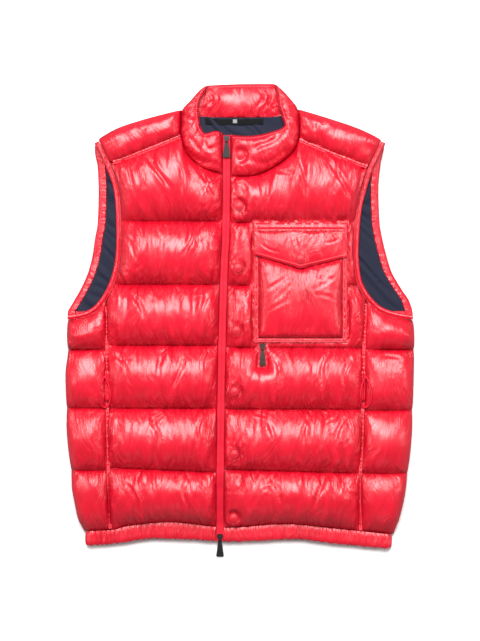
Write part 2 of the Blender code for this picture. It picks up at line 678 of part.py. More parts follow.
def make_collar_back(back_x, back_y):
    """The back half of the stand collar, its inside face up. back_x and back_y are the back's upper edge."""
    rows = 7
    end = BACK_NECK[-1][0]
    at_neck = back_x[np.abs(back_x) < end - 0.4]
    foot_x = np.sort(np.concatenate([[-end, end], at_neck, (at_neck[1:] + at_neck[:-1]) / 2]))
    foot = np.column_stack([foot_x, np.interp(foot_x, back_x, back_y) + 0.2])
    head = curve(COLLAR_TOP, len(foot_x))
    sides = [curve([foot[k], *COLLAR_OUTLINE[side][1::-1], head[k]], rows)
             for side, k in (("right", 0), ("left", -1))]
    x, y = patch(foot, head, *sides)
    v = np.linspace(0, 1, rows)[:, None]
    edge, inside, puff = 12.0, 46.0, 6.0      # thickness at the top, half the width of the inside, and its rise
    between = blend(inside - np.abs(x - 2.0), 0.0, 16.0)
    top = edge + (BODY_PARTING - LAYER_GAP - edge) * shoulder_of(1 - v, 0.5)
    top = top + puff * between * vault(0.06 + 0.88 * v)
    under = np.where(v == 1.0, 2.0, 0.0)      # the top edge is lifted a little
    return padded_wall("collar_back", x, y, top, under, spans=6)


def make_collar_front(side, front_edge):
    """A front half of the collar: a padded band from the top corner, round the neck, to the zip.

    front_edge is the front's upper edge from its side to the zip, which the collar follows below the yoke.
    """
    count, across = 20, 6
    corner = YOKE_SEAMS[side][-1]
    seam = collar_seam(side)
    below = front_edge[SIGN[side] * front_edge[:, 0] < SIGN[side] * corner[0] + 0.01]
    outer = spread(np.vstack([seam[seam[:, 1] > corner[1] + 0.5], below]), np.linspace(0, 1, count))
    inner = curve(COLLAR_INNER[side], count)
    v = np.linspace(0, 1, across)
    x = inner[:, 0][:, None] * (1 - v) + outer[:, 0][:, None] * v
    y = inner[:, 1][:, None] * (1 - v) + outer[:, 1][:, None] * v
    w = np.linspace(0, 1, count)[:, None]
    width = np.hypot(*(outer - inner).T)[:, None]
    rise = shoulder_of(v * width, 13) * shoulder_of((1 - v) * width, 26) * shoulder_of(1 - w, 0.14)
    rise = rise * shoulder_of(w + 0.02, 0.36)
    edge = 2.4 + 2.6 * shoulder_of(w, 0.3)
    low = BODY_PARTING + LAYER_GAP
    height = edge + 15.0 * rise
    if side == "left":
        height = seated(height, x, y)
    return padded_wall(f"collar_{side}", x, y, low + height, low, spans=2)


# ---------------------------------------------------------------- zip, linings and hem

def make_zip_band():
    """The zip's tape and coil, one flat band from the collar's edge to the hem."""
    rows, columns = 28, 4
    head, foot = 287.4, float(hem_foot(-31.0)) + 1.0
    y = np.linspace(head, foot, rows)[:, None] * np.ones(columns)
    across = np.array([-0.5, -0.2, 0.2, 0.5])
    x = zip_middle(y) + ZIP_WIDTH * across
    low = parting(y) + LAYER_GAP
    rise = np.interp(y, [foot, foot + 40], [3.6, ZIP_RISE]) * (1 - 0.12 * (np.abs(across) > 0.4))
    return padded_wall("zip_band", x, y, low + rise, low, colour="zip_tape", spans=1)


def make_linings():
    low = BODY_PARTING - LAYER_GAP + 0.3
    for side in SIGN:
        y = np.linspace(238.0, 15.0, 20)
        line = armhole_edge(side)[::-1]
        outer = side_outline[side](y) - SIGN[side] * (FACING_WIDTH + 0.2)
        inner = np.interp(y, line[:, 1], line[:, 0]) - SIGN[side] * 7.5
        share = np.array([0.0, 0.5, 1.0])
        x = outer[:, None] + (inner - outer)[:, None] * share
        padded_wall(f"lining_armhole_{side}", x, y[:, None] * np.ones(3), low + LINING_THICKNESS, low,
                    colour="lining", spans=1)
    columns = np.linspace(-76.0, 78.0, 9)
    head = back_top_y(columns) - 0.4
    foot = np.full(9, 278.0)
    y = np.array([head, (head + foot) / 2, foot])
    padded_wall("lining_neck", columns * np.ones((3, 1)), y, low + LINING_THICKNESS, low, colour="lining", spans=4)


def make_tape_and_label():
    low = BODY_PARTING - LAYER_GAP + 0.6 + LINING_THICKNESS
    x = np.linspace(-54.0, 36.0, 7) * np.ones((2, 1))
    sag = 1.2 * np.cos(np.linspace(-math.pi / 2, math.pi / 2, 7))
    y = np.array([313.6 - sag, 304.4 - sag])
    padded_wall("hanging_tape", x, y, low + 1.4, low, colour="tape")
    label = ((-11.0, 306.2), (-4.6, 306.2), (-4.6, 312.0), (-11.0, 312.0))
    extruded("size_label", label, low + 1.7, low + 2.4, "label")


def make_hem(side):
    """Half of the hem band: a gathered channel that runs from the zip, round the side fold, to the middle back."""
    sign = SIGN[side]
    start = float(front_zip_x(side, -335.0)) + sign * SEAM_GAP / 2
    back_thickness = HEM_PARTING - LAYER_GAP
    upper = HEM_PARTING + LAYER_GAP + HEM_THICKNESS / 2
    lower = back_thickness / 2
    bend, half_at_bend = (upper - lower) / 2, 4.2
    turn_x = float(side_outline[side](-340.0)) - sign * (bend + half_at_bend + 0.2)
    end = sign * SEAM_GAP / 2
    front_steps, back_steps = 2.6, 2.2          # rings to a gather
    path = []                                    # x, z, tilt, half of the thickness, gathers counted so far
    count = int(HEM_GATHERS * front_steps)
    for k in range(count + 1):
        path.append((start + (turn_x - start) * k / count, upper, 0.0, HEM_THICKNESS / 2, k / front_steps))
    for tilt in np.radians([30, 70, 110, 150]):
        path.append((turn_x + sign * bend * math.sin(tilt), (upper + lower) / 2 + bend * math.cos(tilt),
                     tilt, half_at_bend, 0.0))
    count = int(HEM_GATHERS * back_steps)
    for k in range(count + 1):
        path.append((turn_x + (end - turn_x) * k / count, lower, math.pi, back_thickness / 2, k / back_steps))
    rings = []
    for x, z, tilt, half, gather in path:
        out = np.array([sign * math.sin(tilt), math.cos(tilt)])
        ripple = 0.5 - 0.5 * math.cos(2 * math.pi * gather)
        head = float(hem_top(x)) - (SEAM_GAP if tilt == 0 else 2 * HIDDEN_GAP)
        foot = float(hem_foot(x)) + 1.6 * ripple * (half > 3)
        width = head - foot
        outer = half * (1 - 0.44 * ripple)
        profile = ((0.0, 0.62 * outer), (0.22, outer), (0.72, outer), (1.0, 0.3 * outer), (0.94, -half),
                   (0.0, -half))
        rings.append([(x + out[0] * n, head - width * share, z + out[1] * n) for share, n in profile])
    return sweep(f"hem_band_{side}", rings, "shell")


# ---------------------------------------------------------------- chest pocket

def make_pocket():
    """The sewn-down frame, the puffed bag inside it and the pointed flap over the bag."""
    low = POCKET_BASE + 0.3
    left, right, foot, head = POCKET["left"], POCKET["right"], POCKET["foot"], POCKET["head"]
    inset = POCKET_FRAME
    rows = np.array([head, head - 13.0 + 0.3, foot + inset, foot])
    frame_rings = []
    corners = (((left, foot), (left + inset, foot + inset)), ((right, foot), (right - inset, foot + inset)),
               ((right, head), (right - inset, rows[1])), ((left, head), (left + inset, rows[1])))
    for outer, inner in corners:
        outer, inner = np.array(outer), np.array(inner)
        profile = ((0.0, 0.0), (0.0, 0.8 * POCKET_RISE), (0.2, POCKET_RISE), (0.8, POCKET_RISE),
                   (1.0, 0.8 * POCKET_RISE), (1.0, 0.0))
        frame_rings.append(edge_ring(outer, inner, low, profile))
    sweep("pocket_frame", frame_rings, "shell", closed=True)

    columns = np.array([0.0, 0.05, 0.14, 0.3, 0.5, 0.7, 0.86, 0.95, 1.0])
    heights = np.array([rows[1] - 0.4, 76.0, 70.0, 58.0, 36.0, 14.0, -8.0, -21.0, foot + inset + 0.4])
    x = left + inset + 0.4 + (right - left - 2 * inset - 0.8) * columns * np.ones((len(heights), 1))
    y = heights[:, None] * np.ones(len(columns))
    rise = shoulder_of(x - x[0, 0], 20) * shoulder_of(x[0, -1] - x, 20) * shoulder_of(y - heights[-1], 24)
    rise = rise * shoulder_of(76.0 - y, 22)
    padded_wall("pocket_bag", x, y, low + 3.6 + BAG_PUFF * rise, low, spans=1, gap=0.0)

    columns = np.linspace(22.4, 164.8, 11)
    edge = np.interp(columns, *np.array(FLAP_FOOT).T)
    shares = np.array([0.0, 0.12, 0.5, 0.86, 1.0])
    y = rows[1] - 1.0 + (edge - rows[1] + 1.0) * shares[:, None]
    low = low + 3.9
    x = columns * np.ones((len(shares), 1))
    rise = shoulder_of(shares[:, None], 0.3) * shoulder_of(1 - shares[:, None], 0.25)
    rise = rise * shoulder_of(columns - 22.0, 16) * shoulder_of(165.2 - columns, 16)
    return padded_wall("pocket_flap", x, y, low + FLAP_THICKNESS + 3.2 * rise, low, spans=4, gap=0.0)


# ---------------------------------------------------------------- fastenings

def make_snap(name, x, y, low):
    """A cloth-covered snap cap: a low dome with a thin edge."""
    sides = 12
    angles = np.linspace(0, 2 * math.pi, sides, endpoint=False)
    radius = SNAP_WIDTH / 2
    profile = ((0.86, 0.0), (1.0, 0.9), (0.93, 2.1), (0.55, 3.0))
    rings = [[(radius * share * math.cos(a), radius * share * math.sin(a), rise) for a in angles]
             for share, rise in profile]
    return sweep(name, rings, "snap", place=(x, y, low))


SLIDER = {"width": 9.0, "length": 10.5, "base": 2.4, "bridge": 2.4, "tunnel": 3.0, "roof": 1.2}
PULL_THICKNESS = 1.6
AXIS_RISE = SLIDER["base"] + SLIDER["tunnel"] / 2


def make_slider(name, x, y, low, colour):
    """A zip slider: a flat body with a narrow bridge over it, on which the pull tab turns. Its axis is at y."""
    half, base, roof = SLIDER["width"] / 2, SLIDER["base"], SLIDER["tunnel"] + SLIDER["roof"]
    front, back = -3.4, SLIDER["length"] - 3.4
    nose = SLIDER["bridge"] / 2
    outline = ((-nose, front), (nose, front), (nose, -1.2), (half, 1.6), (half, back - 2.0), (0.72 * half, back),
               (-0.72 * half, back), (-half, back - 2.0), (-half, 1.6), (-nose, -1.2))
    body = sweep(name, [[(px * s, py * s, z) for px, py in outline]
                        for s, z in ((0.94, 0.0), (1.0, 0.5), (1.0, base - 0.5), (0.93, base))],
                 colour, place=(x, y, low))
    reach = SLIDER["tunnel"] * 0.62 + SLIDER["roof"]
    within = reach - SLIDER["roof"]
    arch = ((-reach, -0.8), (-reach, roof - 1.0), (-reach + 1.0, roof), (reach - 1.0, roof),
            (reach, roof - 1.0), (reach, -0.8), (within, -0.8), (within, SLIDER["tunnel"]),
            (-within, SLIDER["tunnel"]), (-within, -0.8))
    rings = [[(px, py, base + pz) for py, pz in arch] for px in (-SLIDER["bridge"] / 2, SLIDER["bridge"] / 2)]
    bridge = sweep(name + "_bridge", rings, colour, place=(x, y, low))
    bridge.hide_render = True
    bridge.display_type = "WIRE"
    join = body.modifiers.new("bridge", "BOOLEAN")
    join.operation = "UNION"
    join.solver = "EXACT"
    join.object = bridge
    return body


def make_pull(name, x, y, z, length, tip_width, colour, turn=0.0):
    """A pull tab: a tapered plate with an eye round the slider's bridge. It turns about X at its own origin."""
    eye, arm = SLIDER["bridge"] / 2 + 0.5, 1.1
    half = PULL_THICKNESS / 2
    eye_end = -(SLIDER["tunnel"] * 0.62 + SLIDER["roof"] + 0.8)
    root, tip = eye + arm, tip_width / 2
    far = 0.8 - length
    slope = (tip - root) / (eye_end - 1.2 - far)
    outer = ((-root, half), (root, half), (root, eye_end), (root + 0.4 * slope, eye_end - 1.2),
             (tip, far + 1.2), (tip - 1.2, far), (1.2 - tip, far), (-tip, far + 1.2),
             (-root - 0.4 * slope, eye_end - 1.2), (-root, eye_end))
    hole = ((-eye, -half), (eye, -half), (eye, -half - 0.4), (eye, eye_end), (eye - 0.3, eye_end - 0.5),
            (0.2, eye_end - 0.5), (-0.2, eye_end - 0.5), (0.3 - eye, eye_end - 0.5), (-eye, eye_end),
            (-eye, -half - 0.4))
    count = len(outer)
    points = [(px, py, pz) for pz in (-half, half) for line in (outer, hole) for px, py in line]
    faces = []
    for layer in (0, 2 * count):
        for k in range(count):
            n = (k + 1) % count
            faces.append((layer + k, layer + n, layer + count + n, layer + count + k))
    for line in (0, count):
        for k in range(count):
            n = (k + 1) % count
            faces.append((line + k, line + n, line + 2 * count + n, line + 2 * count + k))
    return make_object(name, points, faces, colour, place=(x, y, z), turn=turn, sharp=30.0)


def make_welt(side, pieces):
    """The lip of a hand pocket, in the seam between front and side panel."""
    half = WELT_WIDTH / 2
    profile = ((-0.94 * half, 0.0), (-half, 1.6), (-0.45 * half, 2.8), (0.45 * half, 2.8), (half, 1.6),
               (0.94 * half, 0.0))
    rings = []
    for y in np.linspace(*WELT_ENDS, 8):
        x = float(side_seam[side](y))
        low = surface_under(pieces, x, y, half + 0.5, 16) + 0.3
        rings.append([(x + across, y, low + rise) for across, rise in profile])
    rings = np.array(rings)
    floor = rings[:, 0, 2]
    bridged = np.maximum(floor, (np.roll(floor, 1) + np.roll(floor, -1)) / 2)
    rings[:, :, 2] += (bridged - floor)[:, None]
    return sweep(f"hand_pocket_welt_{side}", rings, "shell")


def make_cord_loop(side, pieces):
    """The loop of cord on a hand pocket's zip: a teardrop that hangs from the seam and lies on the panels."""
    sign = SIGN[side]
    centre_x = float(side_seam[side](-105.0)) + sign * 3.5
    count, radius = 20, CORD_WIDTH / 2
    angles = np.linspace(0, 2 * math.pi, count, endpoint=False)
    down = 0.5 - 0.5 * np.cos(angles)           # 0 at the seam and 1 at the loop's foot
    xs = centre_x + LOOP_WIDTH / 2 * np.sin(angles) * down ** 0.35
    ys = LOOP_TOP - LOOP_LENGTH * down
    zs = np.array([surface_under(pieces, px, py, radius + 0.8, 10) for px, py in zip(xs, ys)])
    for _ in range(3):
        zs = np.maximum(zs, (np.roll(zs, 1) + np.roll(zs, -1)) / 2)
    zs = zs + radius + 0.6
    along = np.column_stack([np.roll(xs, -1) - np.roll(xs, 1), np.roll(ys, -1) - np.roll(ys, 1),
                             np.roll(zs, -1) - np.roll(zs, 1)])
    along /= np.linalg.norm(along, axis=1)[:, None]
    rings = []
    for k in range(count):
        side_way = np.cross(along[k], [0, 0, 1])
        side_way /= np.linalg.norm(side_way)
        up = np.cross(side_way, along[k])
        rings.append([np.array([xs[k], ys[k], zs[k]]) + radius * (math.cos(a) * side_way + math.sin(a) * up)
                      for a in np.linspace(0, 2 * math.pi, 6, endpoint=False)])
    return sweep(f"cord_loop_{side}", rings, "zip_tape", closed=True)


# ---------------------------------------------------------------- assembly

for old in list(bpy.data.objects):
    bpy.data.objects.remove(old, do_unlink=True)

back_x, back_y = make_back()
make_collar_back(back_x[0], back_y[0])
back_edges = {"right": np.column_stack([back_x[:, 0], back_y[:, 0]]),
              "left": np.column_stack([back_x[:, -1], back_y[:, -1]])}
fronts, collars = {}, {}
for side, columns in (("right", 22), ("left", 25)):
    fronts[side], front_edge = make_front(side, columns)
    collars[side] = make_collar_front(side, front_edge)
    make_yoke(side)
    make_binding(side)
    make_facing(side, back_edges[side])
    side_panel = make_side_panel(side, back_edges[side])
    make_hem(side)
    welt = make_welt(side, (fronts[side], side_panel))
    make_cord_loop(side, (fronts[side], side_panel, welt))
make_linings()
make_tape_and_label()

flap = make_pocket()
make_snap("snap_flap", *FLAP_SNAP, surface_under((flap,), *FLAP_SNAP, SNAP_WIDTH / 2) + 0.3)
for number, place in enumerate(SNAPS, start=1):
    seat = surface_under((fronts["left"], collars["left"]), *place, SNAP_WIDTH / 2)
    make_snap(f"snap_{number}", *place, seat + 0.3)

zip_band = make_zip_band()
for end, (y, length, tip_width, tilt) in ZIP_PULLS.items():
    x = float(zip_middle(y))
    low = surface_under((zip_band,), x, y, SLIDER["width"] / 2 + 0.5) + 0.3
    make_slider(f"zip_slider_{end}", x, y, low, "hardware")
    make_pull(f"zip_pull_{end}", x, y, low + AXIS_RISE, length, tip_width, "pull", math.radians(tilt))
make_slider("pocket_slider", *POCKET_PULL, POCKET_BASE + 0.3, "pocket_metal")
make_pull("pocket_pull", *POCKET_PULL, POCKET_BASE + 0.3 + AXIS_RISE, 28.0, 9.6, "pocket_metal")
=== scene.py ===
# %% [markdown]
# # A glossy down vest, laid flat
# A down vest is cloth bags full of feathers: thin shiny nylon, sewn down in rows, and blown up between
# the rows by its filling. This lesson dresses the plain solids of such a vest in real cloth. Each panel
# starts as a smooth surface from a formula, a short cloth simulation then crumples it, and shaders add
# the weave and the gloss. Every length is in millimetres until a mesh is made, where MM turns it into
# metres. X runs across the vest, Y up to the collar and Z up from the table.

# %% The frame
import math

import bmesh
import bpy
import numpy as np
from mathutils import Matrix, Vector
from mathutils.bvhtree import BVHTree


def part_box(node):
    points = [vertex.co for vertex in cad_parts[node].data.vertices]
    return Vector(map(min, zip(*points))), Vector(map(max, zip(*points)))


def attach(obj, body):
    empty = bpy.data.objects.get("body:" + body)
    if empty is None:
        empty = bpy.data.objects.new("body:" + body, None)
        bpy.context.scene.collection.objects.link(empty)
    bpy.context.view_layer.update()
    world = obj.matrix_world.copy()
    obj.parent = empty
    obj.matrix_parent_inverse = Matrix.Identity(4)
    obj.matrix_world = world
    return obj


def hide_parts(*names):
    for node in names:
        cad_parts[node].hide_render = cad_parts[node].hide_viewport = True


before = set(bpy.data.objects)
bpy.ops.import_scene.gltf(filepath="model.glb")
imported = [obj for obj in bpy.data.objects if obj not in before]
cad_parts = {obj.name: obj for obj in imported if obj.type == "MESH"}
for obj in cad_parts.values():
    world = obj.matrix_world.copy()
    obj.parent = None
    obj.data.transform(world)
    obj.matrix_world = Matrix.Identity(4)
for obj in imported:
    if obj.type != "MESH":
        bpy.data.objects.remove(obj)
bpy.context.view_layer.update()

MM = 0.001


def foot_of(node):
    """Height of a solid's lowest point, in millimetres."""
    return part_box(node)[0][2] / MM


# %% [markdown]
# ## Small tools for lines and surfaces
# A sewing pattern is a few measured points joined by smooth lines. One tool reads a table as a smooth
# function, one draws a curve through points, and one fills the space between four edges.

# %% Lines


def table(rows, column, key=0):
    """A smooth function through a table: cubic pieces whose slopes never overshoot (monotone Hermite)."""
    rows = sorted((row[key], row[column]) for row in rows)
    xs, ys = np.array([r[0] for r in rows]), np.array([r[1] for r in rows])
    steps = np.diff(xs)
    rates = np.diff(ys) / steps
    slopes = np.concatenate([rates[:1], np.zeros(len(xs) - 2), rates[-1:]])
    same = rates[:-1] * rates[1:] > 0
    slopes[1:-1][same] = (2 * rates[:-1] * rates[1:] / (rates[:-1] + rates[1:] + 1e-12))[same]

    def read(x):
        x = np.clip(x, xs[0], xs[-1])
        k = np.clip(np.searchsorted(xs, x) - 1, 0, len(xs) - 2)
        h = steps[k]
        t = (x - xs[k]) / h
        return ((1 + 2 * t) * (1 - t) ** 2 * ys[k] + t * (1 - t) ** 2 * h * slopes[k]
                + t * t * (3 - 2 * t) * ys[k + 1] + t * t * (t - 1) * h * slopes[k + 1])

    return read


def spread(line, shares):
    """Points of a line, of any dimension, at the given shares of its length."""
    line = np.asarray(line, float)
    run = np.concatenate([[0], np.cumsum(np.linalg.norm(np.diff(line, axis=0), axis=1))])
    at = np.asarray(shares) * run[-1]
    return np.stack([np.interp(at, run, line[:, k]) for k in range(line.shape[1])], axis=1)


def catmull_rom(a, b, c, d, t):
    """The cubic from b (t = 0) to c (t = 1) that leaves along c - a and arrives along d - b."""
    return 0.5 * (2 * b + (c - a) * t + (2 * a - 5 * b + 4 * c - d) * t ** 2
                  + (3 * b - a - 3 * c + d) * t ** 3)


def curve(points, count):
    """count evenly spaced points on a Catmull-Rom curve through the given ones."""
    p = np.array(points, float)
    ends = np.vstack([2 * p[0] - p[1], p, 2 * p[-1] - p[-2]])
    a, b, c, d = (ends[k:k + len(p) - 1, None] for k in range(4))
    dense = catmull_rom(a, b, c, d, np.linspace(0, 1, 24, endpoint=False)[None, :, None])
    return spread(np.vstack([dense.reshape(-1, p.shape[1]), p[-1:]]), np.linspace(0, 1, count))


def soften(values, times):
    """The values averaged with their neighbours along the first axis, the two ends kept."""
    for _ in range(times):
        middle = (values[:-2] + 2 * values[1:-1] + values[2:]) / 4
        values = np.concatenate([values[:1], middle, values[-1:]])
    return values


def beside(line, distance):
    """The line moved sideways, to the left of its direction for a positive distance."""
    along = np.gradient(line, axis=0)
    along /= np.linalg.norm(along, axis=1)[:, None]
    return line + distance * np.column_stack([-along[:, 1], along[:, 0]])


def patch(foot, head, start, end):
    """A Coons patch: the two ruled surfaces between opposite edges, less the one through the corners."""
    u = np.linspace(0, 1, len(foot))[None, :, None]
    v = np.linspace(0, 1, len(start))[:, None, None]
    ruled = (1 - v) * foot[None] + v * head[None] + (1 - u) * start[:, None] + u * end[:, None]
    corners = (1 - u) * ((1 - v) * foot[0] + v * head[0]) + u * ((1 - v) * foot[-1] + v * head[-1])
    return np.moveaxis(ruled - corners, 2, 0)


# %% Rises


def vault(t):
    """Rise of a filled baffle from one seam (t = 0) to the next (t = 1): (1 - |2t - 1|^2.1)^0.66."""
    return np.clip(1 - np.abs(2 * np.asarray(t) - 1) ** 2.1, 0, 1) ** 0.66


def shoulder(distance, reach):
    """A quarter circle: 0 at an edge and 1 from reach on."""
    left = 1 - np.clip(np.asarray(distance) / reach, 0, 1)
    return np.sqrt(1 - left ** 2)


def blend(value, low, high):
    """Smooth step: 0 below low, 1 above high."""
    t = np.clip((value - low) / (high - low), 0, 1)
    return t * t * (3 - 2 * t)


def ripples(x, seed, lengths, heights):
    """A sum of sines of the given wavelengths and heights, each with its own seeded phase."""
    phases = np.random.default_rng(seed).uniform(0, 2 * np.pi, len(lengths))
    return sum(height * np.sin(2 * np.pi * x / length + phase)
               for length, height, phase in zip(lengths, heights, phases))


def creases(run, distance, seed, height, reach):
    """Folds that leave a seam: sharp valleys between round ridges, uneven in pitch, length and slant.

    run is the way along the seam and distance the way from it, in millimetres. With s the slanted run, the
    height is (|sum of sines of s| - 0.6) * exp(-distance / reach), plus the same of a finer, shorter kind.
    reach changes slowly along the seam.
    """
    slanted = run + distance * 0.75 * ripples(run, seed, (71.0, 43.0, 113.0), (0.5, 0.35, 0.5))
    slanted = slanted + ripples(run + 0.6 * distance, seed + 1, (57.0, 31.0), (2.2, 1.4))
    folds = np.abs(ripples(slanted, seed + 2, (27.0, 18.7, 43.0), (0.62, 0.5, 0.4))) - 0.6
    small = np.abs(ripples(slanted, seed + 3, (11.1, 16.3), (0.5, 0.35))) - 0.4
    uneven = ripples(run, seed + 4, (29.0, 47.0, 83.0), (0.45, 0.4, 0.4))
    far = reach * (0.55 + 0.5 * (1 + uneven).clip(0, 2))
    start = 1 - np.exp(-distance / 2.2)
    small = 1.3 * small * np.exp(-distance / (0.6 * far))
    return height * start * (folds * np.exp(-distance / far) + small)


# %% [markdown]
# ## The pattern
# The same measured lines as the solids: outlines of the front, the seams and the hem. A right and a left
# value are the wearer's own, so the right one has a negative x.

# %% Sizes and outlines
SEAM_GAP = 0.36
LAYER_GAP = 0.8
BODY_PARTING, HEM_PARTING = 22.0, 7.0          # height at which the fronts lie on the back
PARTING_SLOPE = (-236.0, -318.0)
SEAM_RISE, FRONT_PUFF, SIDE_PUFF, UNDER_GROOVE = 5.0, 26.0, 22.0, 6.0
GATHER_PITCH, GATHER_DEPTH = 23.0, 6.0
ZIP_WIDTH, ZIP_RISE = 12.4, 6.0
BINDING_WIDTH, BINDING_RISE, FACING_WIDTH = 8.0, 8.5, 13.0
SNAP_WIDTH = 14.0
SIGN = {"right": -1.0, "left": 1.0}

SIDES = (
    # y, right, left
    (276.0, -226.3, 226.3), (263.0, -226.0, 223.2), (239.0, -221.6, 218.4), (202.0, -220.1, 215.5),
    (152.0, -221.7, 217.4), (127.0, -226.0, 221.7), (102.0, -229.6, 227.9), (77.0, -236.0, 235.6),
    (52.0, -246.7, 249.6), (28.0, -260.2, 264.6), (11.0, -268.6, 268.9), (-48.0, -268.4, 271.2),
    (-85.0, -271.0, 269.8), (-160.0, -269.6, 268.0), (-184.0, -268.0, 266.4), (-232.0, -263.4, 262.0),
    (-258.0, -261.6, 258.6), (-283.0, -257.0, 254.0), (-308.0, -252.4, 248.2), (-327.0, -244.6, 242.0),
    (-352.0, -241.0, 236.0),
)
ARMHOLES = {
    "right": ((-226.3, 276.0), (-214.4, 251.0), (-205.4, 231.0), (-196.4, 204.6), (-192.6, 166.0),
              (-192.4, 115.0), (-195.4, 85.0), (-202.8, 59.0), (-213.8, 37.5), (-227.6, 21.0), (-245.0, 12.4),
              (-268.0, 8.6)),
    "left": ((226.3, 276.0), (214.4, 251.0), (205.0, 231.0), (196.8, 204.6), (187.9, 166.0),
             (184.2, 115.0), (185.2, 85.0), (190.0, 59.0), (202.4, 37.5), (219.6, 21.0), (243.0, 12.6),
             (268.4, 8.6)),
}
YOKE_SEAMS = {
    "right": ((-198.4, 244.9), (-170.0, 255.0), (-130.0, 270.5), (-91.4, 286.8)),
    "left": ((198.4, 238.4), (170.0, 249.0), (130.0, 264.5), (90.6, 281.0)),
}
NECK_SEAMS = {
    "right": ((-91.4, 286.8), (-85.3, 265.0), (-74.4, 249.6), (-55.8, 236.0), (-27.2, 227.0)),
    "left": ((90.6, 281.0), (82.6, 262.0), (59.4, 241.8), (31.0, 227.4), (7.8, 223.6), (-14.4, 224.6)),
}
SHOULDERS = {
    "right": ((-226.3, 276.0), (-209.3, 288.3), (-184.5, 300.7), (-145.7, 313.1), (-99.2, 325.0),
              (-89.9, 326.0)),
    "left": ((226.3, 276.0), (205.0, 288.3), (176.7, 300.7), (139.5, 313.1), (99.0, 325.4), (89.9, 327.0)),
}
COLLAR_INNER = {
    "right": ((-49.0, 365.0), (-56.0, 353.4), (-62.5, 335.6), (-63.0, 318.5), (-61.2, 303.0), (-54.5, 291.0),
              (-43.0, 293.6), (-33.5, 294.0), (-27.2, 290.4)),
    "left": ((52.7, 366.4), (57.6, 353.4), (59.0, 333.3), (64.3, 316.2), (66.8, 300.4), (43.4, 291.4),
             (20.2, 286.8), (2.0, 286.6), (-14.4, 288.4)),
}
COLLAR_OUTLINE = {
    "right": ((-58.6, 361.6), (-76.0, 341.8), (-89.9, 326.0), (-91.6, 304.0)),
    "left": ((60.6, 363.4), (80.0, 341.8), (89.9, 327.0), (92.0, 303.0)),
}
COLLAR_TOP = ((-49.0, 366.4), (0.0, 368.2), (52.7, 368.6))
BACK_NECK = ((-89.9, 326.0), (-62.0, 317.4), (0.0, 315.2), (62.0, 317.6), (89.9, 327.0))
QUILTING = (
    # right side, right front at side, right front at zip, left front at zip, left front at side, left side
    (None, 154.2, 154.2, 151.9, 151.9, None),
    (None, 55.8, 55.8, 54.3, 54.3, None),
    (-45.0, -38.8, -38.8, -42.0, -43.0, -45.0),
    (-136.0, -136.4, -136.4, -137.2, -138.0, -139.5),
    (-232.5, -228.0, -235.6, -231.0, -237.0, -237.2),
)
BACK_SEAMS = (154.2, 55.8, -45.0, -137.0, -235.0)
HEM_TOP = ((-243.0, -328.0), (-198.0, -325.5), (-175.0, -319.5), (-110.0, -313.6), (-37.0, -321.0),
           (-23.0, -322.4), (68.0, -316.4), (147.0, -323.4), (239.0, -333.0))
HEM_FOOT = ((-243.0, -351.6), (-204.0, -348.8), (-129.0, -339.8), (-39.0, -343.8), (-23.0, -345.0),
            (88.0, -341.2), (147.0, -348.0), (239.0, -356.4))
ZIP_LINE = ((-352.0, -31.2), (-341.0, -31.2), (-124.0, -29.5), (90.0, -24.4), (129.0, -22.2), (248.0, -20.8),
            (300.0, -20.8))
SIDE_SEAMS = {
    "right": ((-340.0, -201.5), (-244.0, -204.0), (-160.0, -205.2), (60.0, -207.0)),
    "left": ((-340.0, 188.5), (-265.0, 185.2), (-197.0, 188.6), (-128.0, 190.6), (-40.0, 192.2),
             (60.0, 196.5)),
}
SNAPS = ((0.8, 255.8), (-0.9, 176.7), (-3.1, 81.2), (-5.6, -15.5), (-8.4, -110.0), (-8.8, -206.8),
         (-9.8, -306.6))
SNAP_BASES = [foot_of(f"snap_{number}") for number in range(1, len(SNAPS) + 1)]
SNAP_HOLD = 9.5                                # radius of the cloth that a snap holds still
POCKET = {"left": 21.7, "right": 165.5, "foot": -34.0, "head": 151.0}
POCKET_BASE, POCKET_FRAME, POCKET_RISE, BAG_PUFF = 36.0, 7.0, 2.6, 10.5
POCKET_PULL = (34.9, -42.5)

zip_middle = table(ZIP_LINE, 1)
hem_top = table(HEM_TOP, 1)
hem_foot = table(HEM_FOOT, 1)
side_outline = {"right": table(SIDES, 1), "left": table(SIDES, 2)}
side_seam = {side: table(SIDE_SEAMS[side], 1) for side in SIGN}
snap_line = table(SNAPS, 0, key=1)


def parting(y):
    """Height at which the fronts lie on the back: level, then down a slope to the hem."""
    high, low = PARTING_SLOPE
    return np.interp(y, [low, high], [HEM_PARTING, BODY_PARTING])


# %% Seams worked out from the outlines


def binding_inside(side, count=200):
    """Where the armhole's binding is sewn on: its outline moved inwards by the binding's width."""
    return beside(curve(ARMHOLES[side], count), -SIGN[side] * BINDING_WIDTH)


BOUND = {side: binding_inside(side)[::-1] for side in SIGN}
COLLAR_SEAM = {side: curve(COLLAR_OUTLINE[side] + NECK_SEAMS[side], 200) for side in SIGN}


def front_side_x(side, y):
    """Outer edge of a front: inside the armhole's binding, then on the seam of the side panel."""
    armhole = np.interp(y, BOUND[side][:, 1], BOUND[side][:, 0])
    return SIGN[side] * np.minimum(SIGN[side] * armhole - 0.3, SIGN[side] * side_seam[side](y))


def front_zip_x(side, y):
    """Edge of a front along the zip."""
    return zip_middle(y) + SIGN[side] * ZIP_WIDTH / 2


def front_top_y(side, x):
    """Upper edge of a front: the yoke seam, then the neck seam."""
    yoke, seam = np.array(YOKE_SEAMS[side]), COLLAR_SEAM[side]
    inwards = seam[:, 0] * SIGN[side] < yoke[-1, 0] * SIGN[side]
    neck = seam[(seam[:, 1] < yoke[-1, 1] - 1.0) & inwards]
    line = np.vstack([yoke, neck])[::1 if side == "right" else -1]
    return np.interp(x, line[:, 0], line[:, 1])


print("pattern lines:", len(QUILTING), "quilting seams on each front,", len(SNAPS), "snaps")

